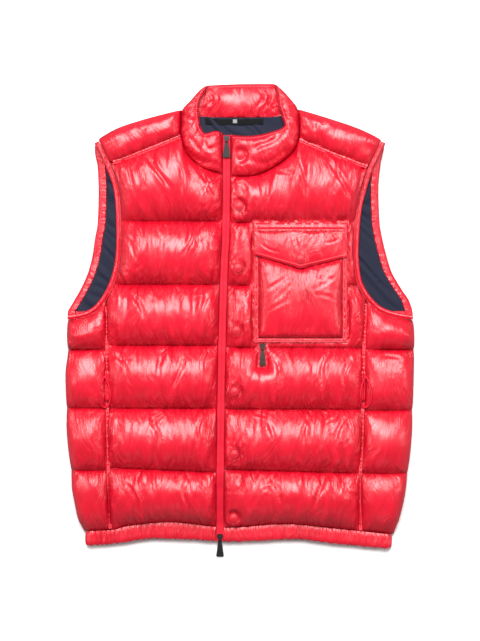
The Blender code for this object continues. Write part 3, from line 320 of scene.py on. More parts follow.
# %% [markdown]
# ## The padded panels, before they are crumpled
# A panel is a grid of points: u runs across it and v down it. Between two quilting seams the cloth rises
# like a vault, and beside its edges like the side of a pillow. Near the seams it is gathered in soft waves,
# because the thread draws it together there.

# %% Main folds
MAIN_FOLDS = {
    # x and y of a fold's start, middle and end, then its half width and its depth
    "front_right_shell": (
        (-145.7, 254.2, -128.7, 232.5, -107.0, 203.1, 3.0, 3.1),
        (-80.6, 255.8, -60.5, 235.6, -35.6, 221.7, 2.5, 2.3),
        (-88.4, 263.5, -66.7, 237.2, -37.2, 193.8, 2.8, 2.9),
        (-192.2, 248.0, -187.6, 223.2, -179.8, 198.4, 2.5, 2.0),
        (-172.1, 248.0, -169.0, 223.2, -161.2, 190.7, 2.5, 2.2),
        (-102.3, 254.2, -89.9, 226.3, -94.5, 186.0, 2.7, 2.3),
        (-21.7, 229.4, -40.3, 215.5, -57.4, 201.5, 2.3, 2.0),
        (-186.0, 136.4, -169.0, 117.8, -159.7, 89.9, 2.8, 2.0),
        (-68.2, 148.8, -74.4, 124.0, -88.4, 99.2, 2.8, 2.0),
        (-173.6, 43.4, -155.0, 26.4, -145.7, -3.1, 2.8, 2.2),
        (-43.4, 46.5, -57.4, 21.7, -62.0, -15.5, 2.8, 2.2),
        (-201.5, -49.6, -179.8, -65.1, -170.5, -99.2, 2.8, 2.2),
        (-83.7, -46.5, -91.5, -74.4, -108.5, -111.6, 3.0, 2.3),
        (-139.5, -145.7, -127.1, -173.6, -130.2, -204.6, 2.8, 2.2),
        (-52.7, -139.5, -63.6, -161.2, -65.1, -195.3, 2.7, 2.0),
        (-182.9, -244.9, -164.3, -266.6, -158.1, -300.7, 2.8, 2.2),
        (-77.5, -238.7, -86.8, -263.5, -77.5, -297.6, 2.8, 2.2)),
    "front_left_shell": (
        (117.8, 269.7, 142.6, 238.7, 173.6, 186.0, 3.2, 3.2),
        (80.6, 263.5, 91.5, 232.5, 102.3, 192.2, 2.8, 2.6),
        (195.3, 260.4, 187.6, 223.2, 173.6, 176.7, 3.0, 2.8),
        (34.1, 248.0, 55.8, 232.5, 93.0, 226.3, 2.6, 2.2),
        (210.8, 263.5, 195.3, 241.8, 182.9, 229.4, 2.6, 2.2),
        (46.5, -49.6, 60.5, -74.4, 63.6, -111.6, 3.0, 2.4),
        (139.5, -46.5, 127.1, -71.3, 127.1, -108.5, 3.0, 2.4),
        (173.6, -55.8, 161.2, -80.6, 164.3, -117.8, 2.8, 2.2),
        (34.1, -142.6, 49.6, -170.5, 52.7, -204.6, 3.0, 2.4),
        (111.6, -142.6, 97.7, -167.4, 94.5, -207.7, 3.2, 2.6),
        (167.4, -145.7, 150.3, -170.5, 145.7, -201.5, 3.0, 2.4),
        (46.5, -241.8, 60.5, -263.5, 62.0, -297.6, 3.0, 2.4),
        (133.3, -238.7, 120.9, -266.6, 111.6, -294.5, 3.0, 2.4)),
    "collar_right_shell": (
        (-93.0, 269.7, -68.2, 249.6, -24.8, 238.7, 4.1, 2.2),
        (-57.4, 282.1, -48.1, 265.1, -24.8, 274.4, 2.9, 1.7),
        (-96.1, 322.4, -80.6, 313.1, -66.7, 306.9, 3.1, 1.5),
        (-83.7, 288.3, -74.4, 279.0, -60.5, 260.4, 3.1, 1.7)),
    "collar_left_shell": (
        (10.8, 265.1, 43.4, 274.4, 71.3, 292.9, 3.8, 1.6),
        (9.3, 251.1, 40.3, 243.3, 74.4, 265.1, 4.3, 1.9),
        (34.1, 280.6, 29.4, 269.7, 21.7, 260.4, 3.0, 1.2),
        (66.7, 316.2, 79.0, 306.9, 86.8, 288.3, 3.5, 1.4)),
    "collar_back_shell": (
        (-52.7, 356.5, -43.4, 344.1, -54.2, 328.6, 2.2, 2.4),
        (-40.3, 359.6, -34.1, 342.6, -40.3, 325.5, 2.0, 1.8),
        (27.9, 359.6, 35.6, 345.7, 24.8, 328.6, 2.2, 2.4),
        (40.3, 359.6, 46.5, 344.1, 34.1, 323.9, 2.0, 2.2),
        (52.7, 353.4, 43.4, 339.4, 55.8, 322.4, 2.0, 2.0)),
    "pocket_bag_puff": (
        (91.5, 76.0, 68.2, 63.6, 37.2, 45.0, 2.0, 1.6),
        (93.0, 74.4, 77.5, 54.2, 54.2, 31.0, 1.8, 1.4),
        (100.8, 76.0, 125.5, 66.7, 151.9, 63.6, 2.0, 1.4),
        (111.6, 40.3, 136.4, 37.2, 153.5, 24.8, 1.8, 1.3),
        (80.6, 34.1, 60.5, 24.8, 40.3, 12.4, 1.8, 1.3),
        (110.0, 46.5, 136.4, 60.5, 156.6, 77.5, 1.8, 1.3),
        (97.7, 31.0, 102.3, 12.4, 97.7, -6.2, 2.0, 1.2)),
    "pocket_flap_puff": (
        (83.7, 136.4, 86.8, 120.9, 91.5, 108.5, 1.8, 1.1),
        (97.7, 136.4, 96.1, 122.5, 94.5, 110.0, 1.6, 1.0),
        (111.6, 130.2, 105.4, 117.8, 99.2, 107.0, 1.8, 1.1),
        (31.0, 120.0, 44.0, 110.5, 63.0, 105.0, 1.7, 0.8),
        (156.0, 129.0, 145.0, 122.0, 131.0, 119.5, 1.6, 0.8)),
}


def folded(x, y, folds):
    """Long soft valleys with a low ridge beside each, fading out at both ends of its line.

    With d the distance from the line and s its share along it, a valley is
    -depth * sin(pi s)^0.7 * (exp(-(d / w)^2) - 0.45 exp(-((d - 2 w) / (1.3 w))^2)).
    """
    height, count = np.zeros_like(x), 36
    for *points, width, depth in folds:
        line = curve(np.reshape(points, (3, 2)), count)
        away = np.hypot(x[..., None] - line[:, 0], y[..., None] - line[:, 1])
        fade = np.sin(np.pi * np.argmin(away, axis=2) / (count - 1)) ** 0.7
        away = away.min(axis=2)
        ridge_beside = 0.45 * np.exp(-((away - 2 * width) / (1.3 * width)) ** 2)
        height -= depth * fade * (np.exp(-(away / width) ** 2) - ridge_beside)
    return height


# %% The two fronts
# Each panel is a dictionary:
# name, node: its piece's name, and the solid that the piece stands for
# at, low: its grid of points, and the height of what lies below its filling
# held, spare: the points that are pinned, and how much larger its cloth is cut along X, Y and Z
# seams: rows of the way along a seam, the way from it, and the height and reach of the creases there
# turned, crumpled, wraps: wrinkles run along its rows; how creased it is all over, which also darkens its
# colour as painted shade; it goes round the fold

BAFFLES, DOWN = 6, 38                  # baffles of a front, and grid rows of each
ACROSS = {"right": 104, "left": 126}   # grid columns of each front
PASSES = 12                            # rounds in which a grid's x and y settle on each other
SIDE_ROUND, ZIP_ROUND = 34, 24         # how far a baffle takes to rise from its side seam and from the zip


def at_ends(u, v):
    """True where either share is 0 or 1."""
    return (u == 0) | (u == 1) | (v == 0) | (v == 1)


def rows_between(lines, band, t):
    """Heights between seam lines: the share t of the way from line number band of each row to the next."""
    number = np.broadcast_to(band.reshape((1, -1) + (1,) * (lines.ndim - 2)), (1, *lines.shape[1:]))
    head, foot = (np.take_along_axis(lines, number + k, 0)[0] for k in (0, 1))
    return head + (foot - head) * t


def round_seam(x, y, centre, radius, height, reach, pace=14, start=0.0):
    """Creases that leave a circle: the way round it, the way from it, and the creases' height and reach."""
    run = np.arctan2(y - centre[1], x - centre[0]) * pace + start
    return run, np.maximum(np.hypot(x - centre[0], y - centre[1]) - radius, 0), height, reach


def past_box(away_x, away_y):
    """Distance from a box, from the distances past its sides."""
    at_corner = (away_x > 0) & (away_y > 0)
    return np.where(at_corner, np.hypot(away_x, away_y), np.maximum(away_x, away_y))


def away_from_pocket(x, y):
    """Distance from the chest pocket's frame, and the way along its nearest side."""
    away_x = np.maximum(POCKET["left"] - x, x - POCKET["right"])
    away_y = np.maximum(POCKET["foot"] - y, y - POCKET["head"])
    return np.maximum(past_box(away_x, away_y), 0), np.where(away_x > away_y, y, x)


def seated(height, low, x, y):
    """The wall's height, kept low along the stiff strip beside the zip and level with the foot of each cap."""
    strip = np.exp(-(np.abs(x - snap_line(y) + 3.0) / 17.0) ** 4) * blend(240.0 - y, 0.0, 12.0)
    height = height * (1 - strip) + np.minimum(height, 9.0 + 0.42 * height) * strip
    for (cap_x, cap_y), base in zip(SNAPS, SNAP_BASES):
        pressed = 1 - blend(np.hypot(x - cap_x, y - cap_y), 8.0, 15.5)
        height = height * (1 - pressed) + (base + 0.3 - low) * pressed
    return height


def pocket_flat(x, y):
    """1 where the chest pocket and its pull hold the front flat, falling like a pillow's side from them."""
    moat, reach = 3.0, 20.0
    pull_x, pull_y = POCKET_PULL
    pull_away = past_box(np.abs(x - pull_x) - 7.0, np.maximum(pull_y - 30 - y, y - pull_y - 20))
    away = away_from_pocket(x, y)[0]
    return 1 - np.minimum(shoulder(away - moat, reach), shoulder(pull_away - 1.0, reach))


def front_grid(side):
    """A front of six baffles, with gathers beside its seams.

    With s the share of the way to the zip and t the way down a baffle, its height is
    SEAM_RISE + FRONT_PUFF * shoulder(s) * shoulder(1 - s) * vault(t).
    """
    columns = ACROSS[side]
    even = np.linspace(0, 1, columns)
    share = 0.7 * even + 0.3 * (0.5 - 0.5 * np.cos(np.pi * even))
    share = np.broadcast_to(share, (BAFFLES * DOWN + 1, columns))
    row = np.arange(BAFFLES * DOWN + 1)
    band = np.minimum(row // DOWN, BAFFLES - 1)
    t = ((row - band * DOWN) / DOWN)[:, None] * np.ones(columns)
    at_side, at_zip = (1, 2) if side == "right" else (4, 3)
    y = np.full(share.shape, 200.0)
    for _ in range(PASSES):
        x = front_side_x(side, y) * (1 - share) + front_zip_x(side, y) * share
        quilted = [seam[at_side] + (seam[at_zip] - seam[at_side]) * share for seam in QUILTING]
        lines = np.array([front_top_y(side, x), *quilted, hem_top(x)])
        y = rows_between(lines, band, t)
    low = parting(y) + LAYER_GAP
    width = np.abs(front_side_x(side, y) - front_zip_x(side, y))
    rise = shoulder(share * width, SIDE_ROUND) * shoulder((1 - share) * width, ZIP_ROUND) * vault(t)
    seam = (band - 1)[:, None]
    wave = np.sin(2 * np.pi * x / GATHER_PITCH + 1.9 * seam) * np.sin(0.037 * x + 0.8 * seam + 1.0)
    near_seam = np.exp(-np.minimum(t, 1 - t) / 0.16) - np.exp(-np.minimum(t, 1 - t) / 0.05)
    height = SEAM_RISE + FRONT_PUFF * rise + GATHER_DEPTH * wave * near_seam * rise ** 0.5
    held = at_ends(t, share)
    pitch = np.abs(lines[1:] - lines[:-1]).mean((1, 2))[band][:, None]
    own = 100 * (band[:, None] + 7 * (side == "left"))
    seams = [(x + own, t * pitch, 2.3, 22.0), (x + own + 53, (1 - t) * pitch, 2.4, 20.0),
             (y + 40, share * width, 1.2, 11.0), (y, (1 - share) * width, 1.3, 11.0)]
    if side == "left":
        height = seated(height, low, x, y)
        away, run = away_from_pocket(x, y)
        seams.append((run, away, 1.0, 9.0))
        seams += [round_seam(x, y, cap, SNAP_HOLD, 1.1, 8.0, start=9 * cap[1]) for cap in SNAPS[1:]]
        flat = pocket_flat(x, y)
        height = height * (1 - flat) + (POCKET_BASE - BODY_PARTING - LAYER_GAP) * flat
        held = held | (flat > 0.97)
        for cap_x, cap_y in SNAPS:
            held = held | (np.hypot(x - cap_x, y - cap_y) < SNAP_HOLD)
    return {"name": f"front_{side}_shell", "at": np.stack([x, y, low + height], 2), "low": low,
            "held": held, "spare": (1.13, 1.035, 1.05), "seams": seams, "node": [f"front_{side}"]}


# %% Yokes
YOKE_RISE, YOKE_PUFF = 4.5, 17.0
YOKE_DEPTH, YOKE_WIDTH = 42, 120


def grid_shares(rows, columns):
    """Shares of the way down (v) and across (u) for every point of a grid."""
    return np.meshgrid(np.linspace(0, 1, rows), np.linspace(0, 1, columns), indexing="ij")


def yoke_grid(side):
    """The shoulder piece: a Coons patch from the yoke seam up to the shoulder line."""
    columns, rows = 56, 36
    line = binding_inside(side)
    seam_end, corner = np.array(YOKE_SEAMS[side][0]), np.array(YOKE_SEAMS[side][-1])
    above = line[line[:, 1] > seam_end[1]][::-1]
    start = spread(np.vstack([seam_end, above]), np.linspace(0, 1, rows))
    foot = spread(np.array(YOKE_SEAMS[side]), np.linspace(0, 1, columns))
    outline = curve(SHOULDERS[side], 120)
    beyond = SIGN[side] * (outline[:, 0] - start[-1, 0]) < 0
    head = spread(np.vstack([start[-1], outline[beyond]]), np.linspace(0, 1, columns))
    seam = COLLAR_SEAM[side][::-1]
    near = seam[(seam[:, 1] > corner[1] + 1.0) & (seam[:, 1] < head[-1, 1] - 1.0)]
    end = spread(np.vstack([corner, near, head[-1]]), np.linspace(0, 1, rows))
    x, y = patch(foot, head, start, end)
    v, u = grid_shares(rows, columns)
    rise = shoulder(v, 0.45) * shoulder(1 - v, 0.34) ** 1.2 * shoulder(u, 0.2) * shoulder(1 - u, 0.12)
    low = np.full(x.shape, BODY_PARTING + LAYER_GAP)
    held = at_ends(u, v)
    return {"name": f"yoke_{side}_shell", "at": np.stack([x, y, low + YOKE_RISE + YOKE_PUFF * rise], 2),
            "low": low, "held": held, "spare": (1.06, 1.005, 1.01), "node": [f"yoke_{side}"],
            "seams": [(x + 7, v * YOKE_DEPTH, 0.8, 12.0), (x + 91, (1 - v) * YOKE_DEPTH, 0.5, 9.0),
                      (y, (1 - u) * YOKE_WIDTH, 0.7, 9.0)]}


# %% Collar
COLLAR_RISE, COLLAR_PUFF = 2.4, 15
TIP_DROP = 12.0                        # how far the front halves bend down at their upper tips
COLLAR_FOOT = 12                       # height of the back half at the neck
COLLAR_HEIGHT, COLLAR_WIDTH = 50, 170


def collar_front_grid(side):
    """A front half of the collar: ruled from its inner edge (v = 0) to the neck seam (v = 1)."""
    along, across = 84, 30
    corner = np.array(YOKE_SEAMS[side][-1])
    seam = COLLAR_SEAM[side]
    x_below = np.linspace(corner[0], NECK_SEAMS[side][-1][0], 60)
    below = np.column_stack([x_below, front_top_y(side, x_below)])
    outer = spread(np.vstack([seam[seam[:, 1] > corner[1] + 0.5], below]), np.linspace(0, 1, along))
    inner = curve(COLLAR_INNER[side], along)
    v = np.linspace(0, 1, across)
    x = inner[:, :1] * (1 - v) + outer[:, :1] * v
    y = inner[:, 1:] * (1 - v) + outer[:, 1:] * v
    w = np.linspace(0, 1, along)[:, None]
    width = np.linalg.norm(outer - inner, axis=1)[:, None]
    rise = (shoulder(v * width, 13) * shoulder((1 - v) * width, 26) * shoulder(1 - w, 0.14)
            * shoulder(w + 0.02, 0.36))
    height = COLLAR_RISE + 2.6 * shoulder(w, 0.3) + COLLAR_PUFF * rise
    run = w * 190.0 + 300 * (side == "left") + 0 * v
    held = at_ends(v, w)
    low = BODY_PARTING + LAYER_GAP - TIP_DROP * (1 - shoulder(w, 0.1)) + 0 * v
    if side == "left":
        height = seated(height, low, x, y)
        held = held | (np.hypot(x - SNAPS[0][0], y - SNAPS[0][1]) < SNAP_HOLD)
    return {"name": f"collar_{side}_shell", "at": np.stack([x, y, low + height], 2), "low": low,
            "held": held, "spare": (1.05, 1.05, 1.03), "node": [f"collar_{side}"], "turned": True,
            # crumpled raises attribute seam all over the collar: more wrinkles, and a colour darkened as
            # painted shade
            "crumpled": 0.45,
            "seams": [(run, v * width, 1.6, 11.0), (run + 77, (1 - v) * width, 1.9, 16.0)]}


def back_top_y(x):
    """The back's upper edge: right shoulder, back neck, left shoulder."""
    right, neck, left = (curve(line, 60) for line in (SHOULDERS["right"], BACK_NECK, SHOULDERS["left"]))
    line = np.vstack([right, neck[1:-1], left[::-1]])
    return np.interp(x, line[:, 0], line[:, 1])


def collar_back_grid():
    """The collar's back half, inside face up: a Coons patch from the back neck to the top edge."""
    columns, rows = 72, 30
    end = BACK_NECK[-1][0]
    foot_x = np.linspace(-end, end, columns)
    foot = np.column_stack([foot_x, back_top_y(foot_x) + 0.2])
    head = curve(COLLAR_TOP, columns)
    sides = [curve([foot[k], *COLLAR_OUTLINE[side][1::-1], head[k]], rows)
             for side, k in (("right", 0), ("left", -1))]
    x, y = patch(foot, head, *sides)
    v, u = grid_shares(rows, columns)
    between = blend(46 - np.abs(x - 2), 0, 16)
    stand = (BODY_PARTING - LAYER_GAP - COLLAR_FOOT) * shoulder(1 - v, 0.5)
    top = COLLAR_FOOT + stand + 6 * between * vault(0.06 + 0.88 * v)
    edge = 1 - shoulder(np.minimum((1 - v) * COLLAR_HEIGHT, np.minimum(u, 1 - u) * COLLAR_WIDTH), 11.0)
    top = top - 3.5 * edge
    held = at_ends(u, v)
    return {"name": "collar_back_shell", "at": np.stack([x, y, top], 2), "low": 6.5 * edge, "held": held,
            # crumpled raises attribute seam all over the back collar: more wrinkles, and a colour darkened as
            # painted shade
            "spare": (1.05, 1.01, 1.02), "node": ["collar_back"], "crumpled": 0.25,
            "seams": [(x + 11, v * COLLAR_HEIGHT, 0.8, 9.0), (x + 210, (1 - v) * COLLAR_HEIGHT, 0.9, 9.0),
                      (y + 0.5 * x, np.abs(x + 52), 1.4, 9.0),
                      (y - 0.4 * x + 80, np.abs(x - 54), 1.6, 11.0)]}


# %% Side panels
SIDE_PITCH = 92                        # mean way between two quilting seams


def smooth_rows(points, count):
    """Each row's control points (rows, k, 2) drawn as a Catmull-Rom line of count points."""
    first, last = 2 * points[:, :1] - points[:, 1:2], 2 * points[:, -1:] - points[:, -2:-1]
    p = np.concatenate([first, points, last], 1)
    at = np.linspace(0, points.shape[1] - 1 - 1e-9, count)
    k = at.astype(int)
    a, b, c, d = (p[:, k + n] for n in range(4))
    return catmull_rom(a, b, c, d, (at - k)[None, :, None])


def side_reach(y):
    """How far under the garment a side panel goes, from the fold to its seam with the back."""
    return np.interp(y, [-70.0, 3.0], [34.0, FACING_WIDTH])


def groove(t):
    """Depth of a quilting seam on the underside, which is flat but for a narrow stretch beside each seam."""
    return UNDER_GROOVE * (1 - blend(np.minimum(t, 1 - t), 0.0, 0.09))


def side_grid(side):
    """The panel over the side fold: each row runs from the front-side seam, over the fold, to the seam below.

    A row's points are given in stations: three on the puffed top, four round the fold, whose corner is a
    superellipse (cos^0.8, sin^0.9), and four back underneath.
    """
    sign = SIGN[side]
    around, down, baffles = 52, 36, 4
    column = 0 if side == "right" else 5
    seams = [row[column] for row in QUILTING if row[0] is not None]
    rows = baffles * down + 1
    band = np.minimum(np.arange(rows) // down, baffles - 1)
    t = (np.arange(rows) - band * down) / down
    top = BOUND[side][BOUND[side][:, 1] < 70.0]
    top = top[np.argsort(top[:, 0])]

    def height_of(x):
        lines = [np.interp(x, top[:, 0], top[:, 1]), *(np.full_like(x, y) for y in seams), hem_top(x)]
        return rows_between(np.array(lines), band, t.reshape((rows,) + (1,) * (x.ndim - 1)))

    y_fold = height_of(np.where(band == 0, side_outline[side](0.0), sign * 255.0))
    fold = side_outline[side](y_fold) - sign * 1.6 * (1 - vault(t))
    y_seam = height_of(side_seam[side](y_fold))
    seam = front_side_x(side, y_seam)
    low = parting(y_seam) + LAYER_GAP
    puff = SIDE_PUFF * vault(np.where(band == 0, np.maximum(t, 0.03), t))
    crest = seam + (fold - seam) * 0.46
    high, middle = low + SEAM_RISE + puff, 0.55 * (low + 0.5 * puff)
    rise, reach = groove(t), sign * side_reach(y_fold)
    stations = [(seam + (crest - seam) * s, high - puff * (1 - shoulder(s, 0.9))) for s in (0.0, 0.18, 0.5)]
    stations += [(crest + (fold - crest) * math.cos(a) ** 0.8, middle + (high - middle) * math.sin(a) ** 0.9)
                 for a in np.radians([90, 60, 35, 12])]
    stations += [(fold - s * reach, z)
                 for s, z in ((0.0, middle), (0.1, 0.35 * middle + rise * 0.5), (0.4, rise), (0.96, rise))]
    stations = np.moveaxis(np.array(stations), 2, 0)
    inner_limit = sign * (seam + sign * (SEAM_GAP / 2 + 0.8))[:, None]
    stations[..., 0] = sign * np.maximum(sign * stations[..., 0], inner_limit)
    x, z = np.moveaxis(smooth_rows(stations, around), 2, 0)
    z = np.maximum(z, 0.0)
    k = np.linspace(0, 1, around)[None, :]
    under_armhole = (k > 0.75) & (band == 0)[:, None]
    y = np.where(under_armhole, y_fold[:, None], height_of(x))
    way = 150 * k + 40 * band[:, None] + 500 * (sign > 0)
    held = at_ends(t[:, None], k) | ((z < 1.5) & (k > 0.5))
    return {"name": f"side_panel_{side}_shell", "at": np.stack([x, y, z], 2),
            "low": np.where(k < 0.66, (low - 1.2)[:, None], 4.0) * np.ones_like(x), "held": held,
            "spare": (1.10, 1.03, 1.08), "node": [f"side_panel_{side}"], "wraps": True,
            "seams": [(way, t[:, None] * SIDE_PITCH, 1.9, 20.0),
                      (way + 61, (1 - t[:, None]) * SIDE_PITCH, 2.0, 20.0),
                      (y, np.abs(x - x[:, :1]) + 0 * way, 0.8, 9.0)]}


padded = [make(side) for make in (front_grid, yoke_grid, collar_front_grid) for side in SIGN]
padded += [collar_back_grid(), side_grid("right"), side_grid("left")]
print("padded panels:", {p["name"]: p["at"].shape[:2] for p in padded})

# %% [markdown]
# ## From points to a mesh
# A piece is made of one or more closed solids: a wall between two grids, or a tube through rings of points.
# Blender turns their faces outwards, and smooth shading stops where two faces meet at a sharp angle.

# %% Making a piece


def grid_faces(rows, cols, start=0, wrap=False):
    """Four-sided faces of a grid of points, row by row. With wrap the last column joins the first."""
    i, j = np.meshgrid(np.arange(rows - 1), np.arange(cols if wrap else cols - 1), indexing="ij")
    a, b = start + i * cols + j, start + i * cols + (j + 1) % cols
    return np.stack([a, b, b + cols, a + cols], 2).reshape(-1, 4)


def border(rows, cols):
    """A grid's border points, in order round it."""
    k = np.arange(rows * cols).reshape(rows, cols)
    return np.concatenate([k[0], k[1:, -1], k[-1, -2::-1], k[-2:0:-1, 0]])


def wall(top, bottom):
    """A closed wall: a top grid, a bottom grid and a skirt that joins their borders."""
    rows, cols = top.shape[:2]
    size, ring = rows * cols, border(rows, cols)
    after = np.roll(ring, -1)
    faces = [grid_faces(rows, cols), grid_faces(rows, cols, size)[:, ::-1],
             np.stack([ring, ring + size, after + size, after], 1)]
    return np.concatenate([top.reshape(-1, 3), bottom.reshape(-1, 3)]), np.concatenate(faces).tolist()


def tube(rings, closed=False):
    """A closed solid through rings of points, with its ends joined or a fan round the middle of each."""
    rings = np.asarray(rings, float)
    count, around = rings.shape[:2]
    points = rings.reshape(-1, 3)
    if closed:
        return points, (grid_faces(count + 1, around, wrap=True) % (count * around)).tolist()
    k = np.arange(around)
    fans = []
    for ring, centre in ((0, len(points)), ((count - 1) * around, len(points) + 1)):
        fans += np.stack([ring + k, ring + (k + 1) % around, np.full(around, centre)], 1).tolist()
    points = np.vstack([points, rings[0].mean(0), rings[-1].mean(0)])
    return points, grid_faces(count, around, wrap=True).tolist() + fans


SHARP = math.radians(50.0)


def piece(name, solids, material, nodes=(), lay=None, seam=0.3):
    """One object from closed solids in millimetres, riding on the vest and standing for its CAD nodes.

    Attribute lay holds each point's place on the flat cloth, in metres, with y along the folds; attribute
    seam is 1 at a seam and fades from it, and the shell's finish darkens its colour there as painted shade.
    """
    points, faces, start = [], [], 0
    for part_points, part_faces in solids:
        points.append(part_points)
        faces += [[start + k for k in face] for face in part_faces]
        start += len(part_points)
    mesh = bpy.data.meshes.new(name)
    mesh.from_pydata((np.vstack(points) * MM).tolist(), [], faces)
    work = bmesh.new()
    work.from_mesh(mesh)
    bmesh.ops.recalc_face_normals(work, faces=work.faces)
    work.to_mesh(mesh)
    work.free()
    mesh.shade_smooth()
    mesh.set_sharp_from_angle(angle=SHARP)
    mesh.materials.append(material)
    lay = np.vstack(points) if lay is None else lay
    places = mesh.attributes.new("lay", "FLOAT_VECTOR", "POINT").data
    places.foreach_set("vector", (lay * MM).astype(np.float32).ravel())
    near = np.broadcast_to(seam, len(mesh.vertices)).astype(np.float32)
    mesh.attributes.new("seam", "FLOAT", "POINT").data.foreach_set("value", near)
    made = bpy.data.objects.new(name, mesh)
    bpy.context.scene.collection.objects.link(made)
    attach(made, "vest")
    if nodes:
        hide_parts(*nodes)
    return made


# %% [markdown]
# ## Crumpling the padded panels
# Wrinkles in filled cloth come from a simple cause: the cloth is longer than the seam it is sewn into. So
# Blender's cloth gets a rest shape that is wider than the panel, the seams are pinned, a little air pressure
# stands for the filling, and the spare cloth buckles by itself. The panels are simulated at ten times their
# size, where Blender's own masses and stiffnesses behave well, and all of them together.

# %% Cloth simulation
CLOTH_UNIT = 0.01          # Blender units to a millimetre while the cloth is simulated
CLOTH_FRAMES = 26
MAY_MOVE = 8.0             # millimetres that a point may move from the smooth shape


def blurred(noise, down, times):
    """Noise averaged with its neighbours, down the columns several times as often as across."""
    for _ in range(times):
        noise = (noise + np.roll(noise, 1, 1) + np.roll(noise, -1, 1)) / 3
        for _ in range(down):
            noise = (noise + np.roll(noise, 1, 0) + np.roll(noise, -1, 0)) / 3
    return noise / noise.std()


def unevenness(panel, seed):
    """What starts the wrinkles: noise drawn out from seam to seam, the way that wrinkles run."""
    shape = panel["at"].shape[:2]
    random = np.random.default_rng(seed)
    shape = shape[::-1] if panel.get("turned") else shape
    noise = (0.9 * blurred(random.normal(0, 1, shape), 8, 4)
             + 0.2 * blurred(random.normal(0, 1, shape), 1, 2))
    return noise.T if panel.get("turned") else noise


def upward(panel, faces):
    """The faces turned so that their mean normal points away from the filling."""
    at = panel["at"].reshape(-1, 3)
    a, b, c = (at[faces[:, k]] for k in range(3))
    normals = np.cross(b - a, c - a)
    above = a[:, 2] > 0.5 * panel["at"][..., 2].max()
    return faces if normals[above, 2].sum() > 0 else faces[:, ::-1]


def drawn_out(moved, panel):
    """The cloth's movement averaged from seam to seam, as down holds wrinkles straighter than cloth alone."""
    axis = 1 if panel.get("turned") else 0
    return np.moveaxis(soften(np.moveaxis(moved, axis, 0), 5), 0, axis)


def cloth_of(panel, number):
    """A panel's skin as a cloth object: uneven at the start, pinned at its seams, and cut too large."""
    at = panel["at"].copy()
    at[..., 2] += np.where(panel["held"], 0, unevenness(panel, 20 + number))
    faces = upward(panel, grid_faces(*at.shape[:2]))
    mesh = bpy.data.meshes.new("cloth")
    mesh.from_pydata((at.reshape(-1, 3) * CLOTH_UNIT).tolist(), [], faces.tolist())
    cloth = bpy.data.objects.new("cloth", mesh)
    bpy.context.scene.collection.objects.link(cloth)
    cloth.shape_key_add(name="Basis")
    cut = cloth.shape_key_add(name="cut")
    middle = panel["at"].mean((0, 1))
    larger = middle + (panel["at"] - middle) * panel["spare"]
    cut.data.foreach_set("co", (larger * CLOTH_UNIT).astype(np.float32).ravel())
    held = cloth.vertex_groups.new(name="held")
    held.add(np.flatnonzero(panel["held"].ravel()).tolist(), 1.0, "REPLACE")
    modifier = cloth.modifiers.new("cloth", "CLOTH")
    modifier.collision_settings.use_collision = False
    settings = modifier.settings
    settings.rest_shape_key = cut
    settings.vertex_group_mass = "held"
    settings.quality, settings.mass, settings.air_damping = 5, 0.02, 3.0
    settings.tension_stiffness = settings.compression_stiffness = 60
    settings.shear_stiffness, settings.bending_stiffness = 8, 0.01
    settings.use_pressure, settings.uniform_pressure_force = True, 7.0
    settings.effector_weights.gravity = 0.0
    return cloth


def crumple(panels):
    """Runs Blender's cloth on every panel at once and keeps its last shape."""
    scene = bpy.context.scene
    cloths = [cloth_of(panel, number) for number, panel in enumerate(panels)]
    for step in range(1, CLOTH_FRAMES + 1):
        scene.frame_set(step)
    graph = bpy.context.evaluated_depsgraph_get()
    for panel, cloth in zip(panels, cloths):
        shape = cloth.evaluated_get(graph).data
        found = np.empty(len(shape.vertices) * 3, np.float32)
        shape.vertices.foreach_get("co", found)
        moved = drawn_out(found.reshape(panel["at"].shape) / CLOTH_UNIT - panel["at"], panel)
        far = np.linalg.norm(moved, axis=2, keepdims=True)
        kept = np.minimum(1, MAY_MOVE * np.tanh(far / MAY_MOVE) / np.maximum(far, 1e-6))
        panel["at"] = panel["at"] + moved * kept
        print(panel["name"], "moved by up to", round(float(far.max()), 1), "mm, mean",
              round(float(far.mean()), 2))
        bpy.data.objects.remove(cloth, do_unlink=True)
    scene.frame_set(1)


# %% The other puffed pieces: chest pocket bag and flap
FLAP_FOOT = ((22.6, 101.2), (93.6, 80.6), (164.6, 98.0))
FLAP_ENDS, FLAP_HEAD, BAG_HEAD = (22.4, 164.8), 137.3, 137.9
FLAP_THICKNESS, FLAP_DEPTH = 3.2, 45
FLAP_SNAP, FLAP_SNAP_BASE = (93.6, 94.9), foot_of("snap_flap")
POCKET_LOW = POCKET_BASE + 0.3


def bag_grid():
    """The pocket's bag: a rectangle whose middle rises like a pillow, from under the flap to the frame."""
    columns, rows = 62, 50
    left, right = POCKET["left"] + POCKET_FRAME + 0.4, POCKET["right"] - POCKET_FRAME - 0.4
    foot = POCKET["foot"] + POCKET_FRAME + 0.4
    x, y = np.meshgrid(np.linspace(left, right, columns), np.linspace(BAG_HEAD, foot, rows))
    point = np.interp(x, *np.array(FLAP_FOOT).T) - 1.5
    under_flap = np.maximum(point - y, 0)
    rise = (shoulder(x - left, 9) * shoulder(right - x, 9) * shoulder(y - foot, 10) * shoulder(under_flap, 11)
            * (0.86 + 0.14 * ripples(x + 0.4 * y, 71, (61.0, 87.0), (0.5, 0.5))))
    held = (x == left) | (x == right) | (y == foot) | (y > point)
    return {"name": "pocket_bag_puff", "at": np.stack([x, y, POCKET_LOW + 3.4 + BAG_PUFF * rise], 2),
            "low": POCKET_LOW, "held": held, "spare": (1.08, 1.08, 1.05), "node": ["pocket_bag"],
            "seams": [(y, x - left, 0.9, 10.0), (y + 87, right - x, 0.9, 10.0), (x, y - foot, 0.9, 10.0),
                      (x + 55, under_flap, 1.1, 15.0),
                      round_seam(x, y, (93, 44), 12, 1.2, 14.0, pace=15)]}


